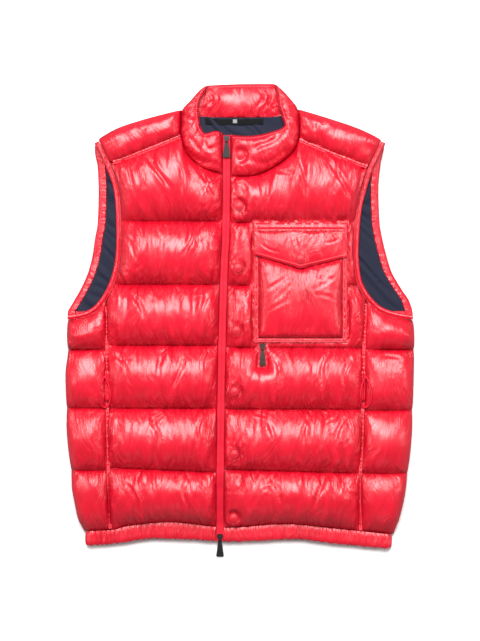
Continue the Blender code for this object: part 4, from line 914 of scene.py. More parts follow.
def flap_grid():
    """The pocket's flap: ruled from its straight upper edge (v = 0) to its pointed lower edge (v = 1)."""
    columns, rows = 68, 26
    x = np.linspace(*FLAP_ENDS, columns)
    point = np.interp(x, *np.array(FLAP_FOOT).T)
    beside_snap = x - FLAP_SNAP[0]
    edge = point - 1.2 * np.exp(-(beside_snap / 9) ** 2) + 1.6 * np.exp(-(beside_snap / 3) ** 2)
    v = np.linspace(0, 1, rows)[:, None]
    y = FLAP_HEAD + (edge - FLAP_HEAD) * v
    x = x * np.ones_like(v)
    rise = shoulder(v, 0.3) * shoulder(1 - v, 0.25) * shoulder(x - 22.0, 16) * shoulder(165.2 - x, 16)
    away = np.hypot(x - FLAP_SNAP[0], y - FLAP_SNAP[1])
    pressed = 1 - blend(away, 7.5, 20)
    low = POCKET_LOW + 3.9
    seat = FLAP_SNAP_BASE + 0.3 - low
    height = (FLAP_THICKNESS + 3.2 * rise) * (1 - pressed) + seat * pressed
    held = (v == 0) | (v > 0.9) | (x == x[0, 0]) | (x == x[0, -1]) | (away < 9.0)
    return {"name": "pocket_flap_puff", "at": np.stack([x, y, low + height], 2), "low": low, "held": held,
            "spare": (1.08, 1.04, 1.04), "node": ["pocket_flap"],
            "seams": [(x, v * FLAP_DEPTH, 0.9, 14.0), round_seam(x, y, FLAP_SNAP, 7.5, 0.8, 9.0)]}


padded += [bag_grid(), flap_grid()]

# %% Let the cloth settle
crumple(padded)

# %% [markdown]
# ## Materials
# A material is a small sum written in Python. The class below wraps one output socket, so that a product or
# a difference adds the Math node for it; any other node comes from one method.

# %% Shader sums


class Wire:
    """A socket of a material's graph. Writing wire * 2 or wire - 1 adds the Math node for it."""

    def __init__(self, finish, socket):
        self.finish, self.socket = finish, socket

    def __add__(self, other):
        return self.finish.maths("ADD", self, other)

    def __sub__(self, other):
        return self.finish.maths("SUBTRACT", self, other)

    def __mul__(self, other):
        return self.finish.maths("MULTIPLY", self, other)

    __radd__ = __add__


class Finish:
    """A material with one Principled shader, whose plain values are set on its own sockets."""

    def __init__(self, name, **plain):
        self.material = bpy.data.materials.new(name)
        self.material.use_nodes = True
        self.nodes, self.links = self.material.node_tree.nodes, self.material.node_tree.links
        self.shader = self.nodes["Principled BSDF"]
        for socket, value in plain.items():
            value = (*value, 1.0) if isinstance(value, tuple) else value
            self.shader.inputs[socket.replace("_", " ")].default_value = value

    def node(self, kind, values, settings=None, output=0):
        """A node of a kind, with the values or wires of its sockets and its settings."""
        made = self.nodes.new(f"ShaderNode{kind}")
        for key, value in (settings or {}).items():
            setattr(made, key, value)
        for key, value in values.items():
            if isinstance(value, Wire):
                self.links.new(value.socket, made.inputs[key])
            else:
                made.inputs[key].default_value = value
        return Wire(self, made.outputs[output])

    def attribute(self, name, output):
        """A point attribute of the mesh."""
        return self.node("Attribute", {}, {"attribute_name": name}, output)

    def noise(self, at, scale, detail, rough=0.5, output=0):
        """Cloudy noise at a place on the cloth."""
        values = {"Vector": at, "Scale": scale, "Detail": detail, "Roughness": rough}
        return self.node("TexNoise", values, output=output)

    def waves(self, scale, direction="X"):
        """Stripes across X or Y in Object coordinates, as a woven thread or rib makes."""
        values = {"Vector": self.here(), "Scale": scale}
        return self.node("TexWave", values, {"bands_direction": direction})

    def here(self):
        """Object coordinates."""
        return self.node("TexCoord", {}, output="Object")

    def between(self, share, first, second):
        """A colour between two, by a share."""
        values = {"Factor": share, 6: (*first, 1), 7: (*second, 1)}
        return self.node("Mix", values, {"data_type": "RGBA"}, output=2)

    def maths(self, operation, a, b=0.0):
        return self.node("Math", {0: a, 1: b}, {"operation": operation})

    def use(self, **wires):
        """Wires led into the shader's own sockets."""
        for socket, wire in wires.items():
            self.links.new(wire.socket, self.shader.inputs[socket.replace("_", " ")])

    def relief(self, height, depth, strength):
        """A Bump node for a height from 0 to 1 that stands for depth millimetres."""
        return self.node("Bump", {"Height": height, "Distance": depth * MM, "Strength": strength})


# %% [markdown]
# ## The glossy shell
# The shell is thin lacquered nylon. Its red is deep, its gloss is soft but bright, and it is never quite
# smooth: fine wrinkles run across the seams, and a tight weave shows when you come close. Shade is painted
# into its red in the folds' valleys and beside the seams.

# %% Shell


def shell_finish():
    """Red lacquered nylon, with folds drawn out along attribute lay's y, and crowded where seam is high.

    With n a noise from 0 to 1, a fold's profile is |2 n - 1|: a sharp valley wherever n crosses a half.
    The colour is painted darker in these valleys and where seam is high, as shade; broad adds a random tone.
    """
    finish = Finish("glossy_shell_with_painted_shade", Coat_Roughness=0.22, Coat_Weight=0.2, IOR=1.5)
    lay = finish.attribute("lay", "Vector")
    seam = finish.attribute("seam", "Fac")

    def over(place, scale, stretch, detail, rough):
        drawn = finish.node("VectorMath", {0: place, 1: stretch}, {"operation": "MULTIPLY"})
        return finish.noise(drawn, scale, detail, rough)

    bend = finish.noise(lay, 14.0, 1.0, output="Color")
    bend = finish.node("VectorMath", {0: bend, 1: (0.075, 0.03, 0), 2: lay}, {"operation": "MULTIPLY_ADD"})
    broad = over(lay, 11.0, (1, 1, 1), 2.0, 0.5)
    folds = over(bend, 62.0, (1, 0.12, 1), 2.0, 0.5)
    fine = over(bend, 190.0, (1, 0.13, 1), 3.0, 0.55)
    valleys = finish.maths("ABSOLUTE", folds * 2 - 1) * 2.2
    threads = finish.maths("ABSOLUTE", fine * 2 - 1) * 2.2
    weave = finish.waves(900.0) * finish.waves(900.0, "Y")
    # painted shade: depth, the share from the dark to the light red, is lower in the folds' valleys and where
    # seam is high; broad adds a random tone
    depth = broad * 0.6 + valleys * 0.4 - seam * 0.35
    patchy = over(lay, 23.0, (1, 0.6, 1), 2.0, 0.5)
    patchy = finish.node("MapRange", {"Value": patchy, "From Min": 0.42, "From Max": 0.62},
                         {"interpolation_type": "SMOOTHSTEP"})
    height = (valleys * (0.06 + patchy * 0.25 + seam * 1.05)
              + threads * (0.05 + patchy * 0.14 + seam * 0.85) + weave * 0.015)
    finish.use(Base_Color=finish.between(depth, (0.46, 0.002, 0.014), (0.70, 0.007, 0.028)),
               Roughness=0.25 + broad * 0.06 + fine * 0.06, Normal=finish.relief(height, 1.7, 0.9))
    return finish.material


shell_red_with_painted_shade = shell_finish()

# %% Finishes of the small pieces


def plain_finish(name, colour, roughness, metallic=0.0, grain=400.0, depth=0.1, ribs=None, shine=0.5):
    """A finish with a slight change of colour and a fine relief: grain, or ribs across X or Y."""
    finish = Finish(name, Metallic=metallic, Specular_IOR_Level=shine)
    cloudy = finish.noise(finish.here(), 60.0, 3.0)
    height = finish.waves(grain, ribs) if ribs else finish.noise(finish.here(), grain, 2.0)
    darker, lighter = tuple(0.75 * c for c in colour), tuple(min(1.1 * c, 1) for c in colour)
    finish.use(Base_Color=finish.between(cloudy, darker, lighter),
               Roughness=roughness - 0.06 + cloudy * 0.12, Normal=finish.relief(height, depth, 0.6))
    return finish.material


tape_red = plain_finish("woven_zip_tape", (0.60, 0.006, 0.026), 0.6, grain=500.0, ribs="Y", shine=0.2)
lining_navy = plain_finish("navy_lining", (0.011, 0.013, 0.028), 0.7, grain=900.0, depth=0.05, shine=0.15)
tape_black = plain_finish("black_hanging_tape", (0.006, 0.006, 0.007), 0.8, grain=900.0, ribs="Y", shine=0.1)
label_grey = plain_finish("blank_label", (0.24, 0.24, 0.25), 0.7, grain=1200.0, ribs="X")
# the thread's pale pink is partly its own red and partly a painted highlight, for the gloss on its puckers
thread_with_painted_highlight = plain_finish("red_thread_with_painted_highlight", (0.9, 0.14, 0.17), 0.5, grain=2000.0)
snap_red = plain_finish("covered_snap", (0.47, 0.003, 0.018), 0.45, grain=1500.0, depth=0.04, shine=0.35)
slider_black = plain_finish("black_slider", (0.008, 0.008, 0.009), 0.35, 0.2, grain=800.0, depth=0.03)
pull_grey = plain_finish("grey_pull", (0.02, 0.02, 0.022), 0.5, grain=900.0, depth=0.05, shine=0.2)
bronze = plain_finish("dark_bronze", (0.13, 0.1, 0.09), 0.25, 0.95, grain=700.0, depth=0.03)
print("finishes:", [material.name for material in bpy.data.materials])

# %% Closing the padded panels


def lining_of(panel):
    """The hidden inner face of a padded panel: under its skin, at the height of the layer below it.

    In a side panel it goes into the fold between the two layers and comes back a little lower.
    """
    at = panel["at"]
    if not panel.get("wraps"):
        return np.stack([at[..., 0], at[..., 1], np.broadcast_to(panel["low"], at.shape[:2])], 2)
    sign = 1.0 if at[0, 0, 0] > 0 else -1.0
    seam = at[:, :1, 0]
    fold = (sign * np.max(sign * at[..., 0], axis=1))[:, None]
    low = parting(at[:, :1, 1]) + LAYER_GAP
    reach = np.abs(fold - at[:, -1:, 0])
    slot_end = fold - sign * np.minimum(0.6 * reach, 0.2 * np.abs(fold - seam))
    x = sign * np.minimum(sign * at[..., 0], sign * slot_end)
    turned = np.cumsum(sign * at[..., 0] > sign * slot_end, axis=1)
    return np.stack([x, at[..., 1], low - 2 * LAYER_GAP * turned / turned[:, -1:].clip(1)], 2)


def lay_of(grid, number, turned):
    """Places on the flat cloth: mean lengths along the rows and down the columns, y along the folds."""
    steps = [np.linalg.norm(np.diff(grid, axis=axis), axis=2).mean(1 - axis) for axis in (0, 1)]
    down, across = (np.concatenate([[0], np.cumsum(step)]) for step in steps)
    x, y = np.meshgrid(across, down)
    x, y = (y, x) if turned else (x, y)
    return np.stack([x + 700.0 * number, y, 0 * x], 2).reshape(-1, 3)


def close_panel(number, panel):
    """The crumpled skin with creases at its seams and its main folds, closed by its hidden inner face.

    near starts at the panel's crumpled value, is 1 at a seam and fades from it, and becomes attribute seam,
    which crowds the shell's wrinkles and darkens its colour as painted shade; edges keeps the main folds out
    of the seams.
    """
    top = panel["at"].copy()
    near, edges = np.full(top.shape[:2], panel.get("crumpled", 0.0)), np.ones(top.shape[:2])
    shown = blend(top[..., 2], 9.0, 16.0) if panel.get("wraps") else 1.0
    for cap_x, cap_y in (*SNAPS, FLAP_SNAP):
        shown = shown * blend(np.hypot(top[..., 0] - cap_x, top[..., 1] - cap_y), 8.0, 12.0)
    for k, (run, distance, height, reach) in enumerate(panel["seams"]):
        top[..., 2] += creases(run, distance, 100 * number + 7 * k, height, reach) * shown
        near = np.maximum(near, np.exp(-distance / reach))
        edges = np.minimum(edges, distance / 5)
    top[..., 2] += edges * folded(top[..., 0], top[..., 1], MAIN_FOLDS.get(panel["name"], ()))
    bottom = lining_of(panel)
    if not panel.get("wraps"):
        top[..., 2] = np.maximum(top[..., 2], bottom[..., 2] + 0.8)
    lay = lay_of(panel["at"], number, panel.get("turned", False))
    made = piece(panel["name"], [wall(top, bottom)], shell_red_with_painted_shade, panel["node"], lay=np.tile(lay, (2, 1)),
                 seam=np.tile(near.ravel(), 2))


for number, panel in enumerate(padded):
    close_panel(number, panel)
print("closed", len(padded), "padded panels")

# %% [markdown]
# ## The back panel
# The back lies on the table. Its underside is flat where it rests and drawn up at the quilting seams, where
# it puckers; its inside is plain, because the fronts cover it.

# %% Back
BACK_ROWS = 22                         # grid rows of each baffle


def side_reach_back(side, y):
    """Side edge of the back: along the facing, then along the side panel's seam underneath."""
    return side_outline[side](y) - SIGN[side] * np.where(y > 1.0, FACING_WIDTH, side_reach(y))


def back_wall():
    """Rows between seams as on the fronts. The underside rises by the groove and by puckers beside each seam.

    Towards the shoulders and the neck the wall closes like the edge of a pillow.
    """
    columns = 130
    share = np.broadcast_to(np.linspace(0, 1, columns), (BAFFLES * BACK_ROWS + 1, columns))
    row = np.arange(BAFFLES * BACK_ROWS + 1)
    band = np.minimum(row // BACK_ROWS, BAFFLES - 1)
    even = (row - band * BACK_ROWS) / BACK_ROWS
    t = (0.5 - 0.5 * np.cos(np.pi * even))[:, None] * np.ones(columns)
    y = np.full(share.shape, 150.0)
    for _ in range(PASSES):
        x = side_reach_back("right", y) * (1 - share) + side_reach_back("left", y) * share
        lines = np.array([back_top_y(x), *(np.full_like(x, seam) for seam in BACK_SEAMS), hem_top(x)])
        y = rows_between(lines, band, t)
    share_down = parting(y) / BODY_PARTING
    near = np.minimum(t, 1 - t)
    folds = ripples(x + 9 * band[:, None], 5, (23.0, 14.0, 9.0, 61.0), (0.5, 0.35, 0.25, 0.4))
    pucker = 2.2 * np.clip(folds, 0, None) * np.exp(-near / 0.13) * (near > 0)
    under = (groove(t) + pucker) * share_down
    top = parting(y) - LAYER_GAP
    edge = 1 - shoulder(back_top_y(x) - y, 11.0)
    under = under + (0.45 * top - under) * edge
    top = top - 0.3 * top * edge * blend(np.abs(x), 90.0, 96.0)
    return wall(np.stack([x, y, top], 2), np.stack([x, y, np.minimum(under, top - 2)], 2))


back_piece = piece("back_shell", [back_wall()], shell_red_with_painted_shade, ["back"])
print("back made of", len(back_piece.data.polygons), "faces")

# %% [markdown]
# ## Edges of the armholes
# The front edge of an armhole is bound: a strip of shell folded over the raw edge and sewn through. The
# back edge is padded, and its cloth crumples because the curve is shorter than the strip.

# %% Bindings and facings


def edge_rings(outer, inner, low, profile):
    """Rings of a strip: profile rows are (share of the way from the outer to the inner side, height)."""
    share, rise = np.moveaxis(profile, -1, 0)
    plan = outer[:, None] + (inner - outer)[:, None] * share[..., None]
    return np.concatenate([plan, np.broadcast_to(low + rise, plan.shape[:2])[..., None]], 2)


def binding_rings(side):
    """Rings of the folded strip along the armhole, pulled in unevenly at its row of stitches."""
    count = 150
    shares = np.linspace(0.004, 0.996, count)
    outer = spread(curve(ARMHOLES[side], 240), shares)
    inner = spread(binding_inside(side, 240), shares)
    run = np.linspace(0, 330, count)[:, None]
    outline = ((0.02, 0.0), (-0.02, 0.5), (0.22, 0.92), (0.5, 1.0), (0.72, 0.86), (0.8, 0.74), (0.88, 0.8),
               (0.95, 0.7), (0.955, 0.0))
    share, rise = curve(np.array(outline) * (1, BINDING_RISE), 22).T
    pull = ripples(run, 7 if side == "left" else 8, (9.0, 6.3, 15.0, 40.0), (0.25, 0.2, 0.2, 0.15))
    level = np.clip(rise / BINDING_RISE, 0, 1)
    height = rise + 0.8 * pull * level * np.exp(-((share - 0.75) / 0.3) ** 2)
    return edge_rings(outer, inner, BODY_PARTING + LAYER_GAP, np.stack([share + 0 * height, height], 2))


def facing_rings(side):
    """Rings of the padded back edge, with folds |sum of sines| pressed into it."""
    y = np.linspace(272.0, 1.8, 170)
    outer = np.stack([side_outline[side](y), y], 1)
    inner = np.stack([side_reach_back(side, y) + SIGN[side] * SEAM_GAP / 2, y], 1)
    thick = BODY_PARTING - LAYER_GAP
    outline = ((0.28, 0.0), (0.02, 0.34), (0.03, 0.7), (0.14, 0.9), (0.42, 1.0), (0.7, 0.98), (0.97, 0.93),
               (0.99, 0.0))
    share, rise = curve(np.array(outline) * (1, thick), 26).T
    folds = ripples(y[:, None] + 22 * share, 11 if side == "left" else 12, (17.0, 11.0, 7.0, 5.0),
                    (0.5, 0.45, 0.35, 0.2))
    level = np.clip(rise / thick, 0, 1) ** 2
    height = rise - 1.1 * np.abs(folds) * level + 0.4 * level
    profile = np.stack([share - 0.03 * folds * level, np.minimum(height, thick)], 2)
    return edge_rings(outer, inner, 0.0, profile)


for side in SIGN:
    binding = piece(f"armhole_binding_{side}_folded", [tube(binding_rings(side))], shell_red_with_painted_shade,
                    [f"armhole_binding_{side}"])
    facing = piece(f"armhole_facing_{side}_crumpled", [tube(facing_rings(side))], shell_red_with_painted_shade,
                   [f"armhole_facing_{side}"])
print("armhole edges made")

# %% [markdown]
# ## The gathered hem
# An elastic in the hem gathers its channel into narrow upright folds. No two are alike, so the folds' phase
# runs unevenly along the band, and their depth changes too.

# %% Hem band
HEM_GATHERS, HEM_THICKNESS = 21, 9.0


def hem_rings(side):
    """Rings along the band: across the front, round the side fold and back underneath.

    Its thickness is shared out by 1 - 0.44 * ripple^1.4, where ripple = (1 - cos(2 pi phase)) / 2 and the
    phase counts the gathers.
    """
    sign = SIGN[side]
    start = float(front_zip_x(side, -335.0)) + sign * SEAM_GAP / 2
    back_thickness = HEM_PARTING - LAYER_GAP
    upper, lower = HEM_PARTING + LAYER_GAP + HEM_THICKNESS / 2, back_thickness / 2
    bend, half_at_bend = (upper - lower) / 2, 4.2
    turn_x = float(side_outline[side](-340.0)) - sign * (bend + half_at_bend + 0.2)
    end = sign * SEAM_GAP / 2
    front, back = 190, 150
    tilts = np.radians([18, 42, 66, 90, 114, 138, 162])
    x = np.concatenate([np.linspace(start, turn_x, front), turn_x + sign * bend * np.sin(tilts),
                        np.linspace(turn_x, end, back)])
    z_turn = (upper + lower) / 2 + bend * np.cos(tilts)
    z = np.concatenate([np.full(front, upper), z_turn, np.full(back, lower)])
    tilt = np.concatenate([np.zeros(front), tilts, np.full(back, np.pi)])
    half = np.concatenate([np.full(front, HEM_THICKNESS / 2), np.full(len(tilts), half_at_bend),
                           np.full(back, back_thickness / 2)])
    share = np.concatenate([np.linspace(0, 1, front), np.zeros(len(tilts)), np.linspace(0, 1, back)])
    phase = HEM_GATHERS * (share + 0.016 * np.sin(9 * share + 2 * sign) + 0.009 * np.sin(23 * share + sign))
    ripple = 0.5 - 0.5 * np.cos(2 * np.pi * phase)
    deep = 1 + 0.35 * np.sin(17.0 * share + sign) + 0.25 * np.sin(41.0 * share + 1)
    fine = 0.16 * np.sin(4 * np.pi * phase + 1.2 + sign)
    out = np.stack([sign * np.sin(tilt), np.cos(tilt)], 1)
    head = hem_top(x) - np.where(tilt == 0, SEAM_GAP, 1.2)
    foot = hem_foot(x) + 1.6 * ripple * deep * (half > 3.0)
    outer = half * (1 - 0.44 * ripple ** 1.4 * deep.clip(0.5, 1.6) + fine * (half > 3.0))
    outer = np.minimum(outer, half * 1.06)
    section = (
        # share of the way down the band, share of its half thickness (below 0 on the hidden side)
        (0.0, 0.62), (0.06, 0.78), (0.16, 0.95), (0.3, 1.0), (0.45, 0.97), (0.6, 1.0), (0.72, 0.98),
        (0.84, 0.9), (0.93, 0.68), (1.0, 0.34), (1.0, -0.3), (0.96, -1.0), (0.6, -1.0), (0.25, -1.0),
        (0.0, -1.0),
    )
    across, level = np.array(section).T
    top = level > 0
    n = np.where(top, level * outer[:, None], np.where(level > -0.5, 0.0, -half[:, None]))
    bow = 1 - 0.06 * np.sin(np.pi * across) * np.cos(2 * np.pi * phase)[:, None]
    n = np.where(top, n * bow, n)
    lean = 0.9 * np.sin(2 * np.pi * phase + 1.0)[:, None] * np.sin(np.pi * across) * top
    return np.stack([x[:, None] + out[:, :1] * n + lean * (tilt == 0)[:, None],
                     head[:, None] - (head - foot)[:, None] * across,
                     np.maximum(z[:, None] + out[:, 1:] * n, 0.0)], 2)


for side in SIGN:
    hem = piece(f"hem_band_{side}_gathered", [tube(hem_rings(side))], shell_red_with_painted_shade, [f"hem_band_{side}"])
print("hem gathered into", 2 * HEM_GATHERS, "folds across the front")

# %% [markdown]
# ## Seams, stitches and trim
# Small trim lies on cloth that has been crumpled, so its height isn't in any formula. A ray straight down
# finds the cloth under each point of a line.

# %% Laying trim on the cloth


def surface_of(*names):
    """A search tree over the faces of some finished pieces, in millimetres."""
    points, faces = [], []
    for name in names:
        mesh, start = bpy.data.objects[name].data, len(points)
        points += [v.co / MM for v in mesh.vertices]
        faces += [[start + k for k in face.vertices] for face in mesh.polygons]
    return BVHTree.FromPolygons(points, faces)


def drop(tree, plan):
    """Heights at which rays straight down meet the cloth, or the parting's where they miss it."""
    hits = [tree.ray_cast(Vector((x, y, 200.0)), Vector((0, 0, -1)))[0] for x, y in plan]
    return np.array([hit.z if hit else BODY_PARTING + LAYER_GAP for hit in hits])


def strip_rings(line, half_width, profile):
    """Rings of a strip along a line of (x, y, z): profile rows are (share of the half width, height)."""
    profile = np.broadcast_to(np.asarray(profile, float), (len(line), *np.shape(profile)[-2:]))
    side_way = (beside(line[:, :2], 1.0) - line[:, :2])[:, None]
    plan = line[:, None, :2] + side_way * half_width * profile[..., :1]
    return np.concatenate([plan, line[:, None, 2:] + profile[..., 1:]], 2)


def axes_along(directions):
    """Unit vectors along, across and above a line, from its directions at each point."""
    along = directions / np.linalg.norm(directions, axis=1)[:, None]
    across = np.cross(along, [0, 0, 1.0])
    across /= np.linalg.norm(across, axis=1)[:, None]
    return along, across, np.cross(across, along)


# %% Stitches
STITCH_PITCH, STITCH_LENGTH, STITCH_THICK = 3.2, 2.3, 0.5


def stitched(line):
    """Stitches along a line of (x, y, z): capsules of 6 sides and 4 rings, each tilted along the line."""
    run = np.linalg.norm(np.diff(line, axis=0), axis=1).sum()
    count, sides = max(int(run / STITCH_PITCH), 1), 6
    half = STITCH_LENGTH / STITCH_PITCH / 2
    ends = np.stack([spread(line, (np.arange(count) + 0.5 + k * half) * STITCH_PITCH / run) for k in (-1, 1)])
    along, across, up = axes_along(ends[1] - ends[0])
    angle = np.linspace(0, 2 * np.pi, sides, endpoint=False)
    rings = np.array([(s, r * math.cos(a), r * math.sin(a))
                      for s, r in ((-0.42, 0.75), (-0.16, 1.0), (0.16, 1.0), (0.42, 0.75)) for a in angle])
    spots = np.vstack([(-0.5, 0, 0), rings, (0.5, 0, 0)]) * (STITCH_LENGTH, STITCH_THICK, STITCH_THICK)
    points = (ends.mean(0)[:, None] + spots[:, :1] * along[:, None] + spots[:, 1:2] * across[:, None]
              + spots[:, 2:] * up[:, None])
    tip, last_ring = len(spots) - 1, len(spots) - 1 - sides
    faces = [(0, 1 + (k + 1) % sides, 1 + k) for k in range(sides)]
    faces += [(tip, last_ring + k, last_ring + (k + 1) % sides) for k in range(sides)]
    faces += grid_faces(4, sides, 1, wrap=True).tolist()
    starts = range(0, len(spots) * count, len(spots))
    return points.reshape(-1, 3), [[start + k for k in face] for start in starts for face in faces]


# %% Ridged seams
seam_lines = []          # lines that get stitches at the end
RIDGE = (
    # share of the half width, share of the rise (below -1 a depth in millimetres)
    (-1.0, -6.0), (-0.97, 0.1), (-0.78, 0.95), (-0.56, 0.55), (-0.3, 1.0), (0.0, 1.1), (0.3, 1.0),
    (0.56, 0.55), (0.78, 0.95), (0.97, 0.1), (1.0, -6.0),
)


def ridge(name, line, half_width, rise, seed, groove_at):
    """A lapped seam that stands up a little: the profile above, pulled in unevenly by its stitches."""
    run = np.arange(len(line)) * 1.0
    pull = 1 + ripples(run, seed, (5.1, 7.7, 13.0), (0.10, 0.08, 0.08))[:, None]
    profile = np.repeat(np.array(RIDGE)[None], len(line), 0)
    profile[..., 1] = np.where(profile[..., 1] > -1, profile[..., 1] * rise * pull, profile[..., 1])
    rings = strip_rings(line, half_width, profile)
    for share in (-groove_at, groove_at):
        plan = beside(line[:, :2], half_width * share)
        seam_lines.append(np.column_stack([plan, line[:, 2] + 0.62 * rise * pull[:, 0]]))
    piece(name, [tube(rings)], shell_red_with_painted_shade)


for number, side in enumerate(SIGN):
    plan = spread(np.array(YOKE_SEAMS[side]), np.linspace(0.012, 0.985, 110))
    level = np.full(110, BODY_PARTING + LAYER_GAP + 9.2)
    ridge(f"yoke_seam_{side}", np.column_stack([plan, level]), 4.8, 1.9, 31 + number, 0.56)
    y = np.linspace(float(hem_top(SIGN[side] * 195.0)) + 1.5, 26.0 if side == "left" else 22.0, 330)
    seam = np.column_stack([side_seam[side](y), y, parting(y) + LAYER_GAP + SEAM_RISE + 2.2])
    ridge(f"side_seam_{side}", seam, 3.2, 2.2, 33 + number, 0.5)
print("seam ridges laid")

# %% [markdown]
# ## The zip, the linings and the label
# The zip's teeth are hidden under a flat woven tape, so a plain matte band runs from collar to hem. The
# lining is a smooth navy cloth that shows only in the neck and the armholes.

# %% Zip tape


def flat_wall(x, y, low, top):
    """A thin wall over a grid of places, from one height to another."""
    return wall(*(np.stack([x, y, z + 0 * x], 2) for z in (top, low)))


def zip_wall():
    """Tape height: flat, with rounded edges, a shallow line down the middle and a slight waviness."""
    rows = 260
    section = np.array([(0.0, 0.94), (0.06, 1.0), (0.2, 1.0), (0.3, 1.0), (0.4, 1.0), (0.48, 0.9),
                        (0.5, 0.55)])
    across, bevel = np.vstack([section[:0:-1] * (-1, 1), section]).T
    head, foot = 287.4, float(hem_foot(-31.0)) + 1.0
    y = np.linspace(head, foot, rows)[:, None] * np.ones(len(across))
    x = zip_middle(y) + (ZIP_WIDTH - 0.3) * across
    low = parting(y) + LAYER_GAP
    waviness = 0.18 * ripples(y, 41, (62.0, 33.0, 17.0), (1, 1, 0.6))
    rise = np.interp(y, [foot, foot + 40], [3.6, ZIP_RISE]) + waviness
    return flat_wall(x, y, low, low + rise * bevel)


piece("zip_tape_band", [zip_wall()], tape_red, ["zip_band"])

# %% Linings, hanging tape and label
LINING_THICKNESS = 1.0


def lining_wall(x, y, seed):
    """A thin cloth with soft slanted folds, |sum of sines|, which fade towards its two long edges."""
    low = BODY_PARTING - LAYER_GAP + 0.3
    slant = x * 0.8 + y + ripples(x + 0.3 * y, seed + 1, (67.0,), (6.0,))
    across = np.linspace(0, 1, x.shape[1])
    fold = np.abs(ripples(slant, seed, (43.0, 29.0, 71.0), (0.5, 0.4, 0.5))) * np.sin(np.pi * across) ** 0.5
    top = low + 0.5 + 2.8 * fold * (np.abs(across - 0.5) < 0.5)
    return flat_wall(x, y, low, top)


for side in SIGN:
    y = np.linspace(238.0, 15.0, 110)
    line = curve(ARMHOLES[side], 240)[::-1]
    outer = side_outline[side](y) - SIGN[side] * (FACING_WIDTH + 0.2)
    inner = np.interp(y, line[:, 1], line[:, 0]) - SIGN[side] * 7.5
    x = outer[:, None] + (inner - outer)[:, None] * np.linspace(0, 1, 14)
    lining = piece(f"armhole_lining_{side}", [lining_wall(x, y[:, None] * np.ones(14), 51)], lining_navy,
                   [f"lining_armhole_{side}"])
    area = float(np.sum(np.abs(np.diff(y)) * np.abs(x[:, -1] - x[:, 0])[1:])) * MM ** 2
NECK_FOOT = 278.0
x = np.linspace(-76.0, 78.0, 80) * np.ones((40, 1))
head = back_top_y(x[0]) - 0.4
y = head + (NECK_FOOT - head) * np.linspace(0, 1, 40)[:, None]
neck_lining = piece("neck_lining", [lining_wall(x, y, 53)], lining_navy, ["lining_neck"])
area = float(np.sum((head - NECK_FOOT)[1:] * np.diff(x[0]))) * MM ** 2

low = BODY_PARTING - LAYER_GAP + 0.6 + LINING_THICKNESS
x = np.linspace(-54.0, 36.0, 60) * np.ones((9, 1))
sag = 1.2 * np.cos(np.linspace(-np.pi / 2, np.pi / 2, 60))
v = np.linspace(0, 1, 9)[:, None]
rise = 1.4 * (1 - 0.25 * np.abs(2 * v - 1) ** 6) + 0.08 * np.sin(x / 5)
tape = flat_wall(x, 313.6 - sag - 9.2 * v, low, low + rise)
piece("neck_hanging_tape", [tape], tape_black, ["hanging_tape"])

LABEL = ((-11.0, -4.6), (312.0, 306.2))
x, y = np.meshgrid(*(np.linspace(*ends, 12) for ends in LABEL))
edge = np.minimum(np.minimum(x + 11.0, -4.6 - x), np.minimum(312.0 - y, y - 306.2))
label = flat_wall(x, y, low + 1.7, low + 2.4 - 0.25 * (edge < 0.1))
piece("woven_size_label", [label], label_grey, ["size_label"])
print("zip, linings, tape and label made")

# %% [markdown]
# ## The chest pocket's frame
# A doubled strip is sewn round the pocket with two rows of stitches. Between the rows it stands up, and at
# the stitches it is drawn down into small puckers.

# %% Pocket frame


def frame_rings():
    """Rings round the rectangle, mitred at its corners. Height: a hump between two grooves, with puckers."""
    at = np.concatenate([k + np.linspace(0, 1, n, endpoint=False) for k, n in enumerate((84, 110, 84, 110))])

    def rectangle(inset, head_inset):
        left, right = POCKET["left"] + inset, POCKET["right"] - inset
        foot, head = POCKET["foot"] + inset, POCKET["head"] - head_inset
        return np.stack([np.interp(at, range(5), (left, right, right, left, left)),
                         np.interp(at, range(5), (foot, foot, head, head, foot))], 1)

    share = np.array([0.0, 0.0, 0.06, 0.2, 0.32, 0.5, 0.68, 0.8, 0.94, 1.0, 1.0])
    level = np.array([0.0, 0.62, 0.85, 0.6, 1.0, 1.12, 1.0, 0.6, 0.85, 0.62, 0.0])
    run = np.arange(len(at)) * 1.5
    pull = ripples(run[:, None] + 3 * share, 61, (6.1, 8.9, 13.0, 23.0), (0.3, 0.3, 0.3, 0.25))
    rise = POCKET_RISE * level * (1 + 0.22 * pull * (level > 0.7))
    outer, inner = rectangle(0.0, 0.0), rectangle(POCKET_FRAME, 12.7)
    return edge_rings(outer, inner, POCKET_LOW, np.stack([share + 0 * rise, rise], 2))


rings = frame_rings()
piece("pocket_frame_strip", [tube(rings, closed=True)], shell_red_with_painted_shade, ["pocket_frame"])
for column in (3, 7):
    loop = rings[:, column]
    seam_lines.append(np.vstack([loop, loop[:1]]) + [0, 0, 0.3])

# %% Stitch lines on bindings, flap and collar


def sew_on(name, line, evened=0):
    """Stitches wanted along a line that is laid on a finished piece."""
    level = soften(drop(surface_of(name), line), evened)
    seam_lines.append(np.column_stack([line, level + 0.15]))


for side in SIGN:
    seam_lines.append(binding_rings(side)[2:-2, 15] + [0, 0, 0.25])
x = np.linspace(25.0, 162.0, 120)
sew_on("pocket_flap_puff", np.column_stack([x, np.interp(x, *np.array(FLAP_FOOT).T) + 4.4]))
for side, last in (("right", 0.97), ("left", 0.98)):
    line = spread(beside(curve(COLLAR_INNER[side], 200), 4.2 * SIGN[side]), np.linspace(0.03, last, 160))
    sew_on(f"collar_{side}_shell", line, 2)
sew_on("collar_back_shell", curve(COLLAR_TOP, 120)[4:-4] - [0, 4.6])
piece("red_stitches", [stitched(line) for line in seam_lines], thread_with_painted_highlight)
print("stitches sewn along", len(seam_lines), "lines")

# %% [markdown]
# ## Snaps, pockets' lips and cords
# A snap's cap is pressed metal covered in the shell cloth: a shallow dome with a soft rim. The hand pockets
# open in the side seams, each with a lip and a loop of cord to pull its zip.

# %% Snaps


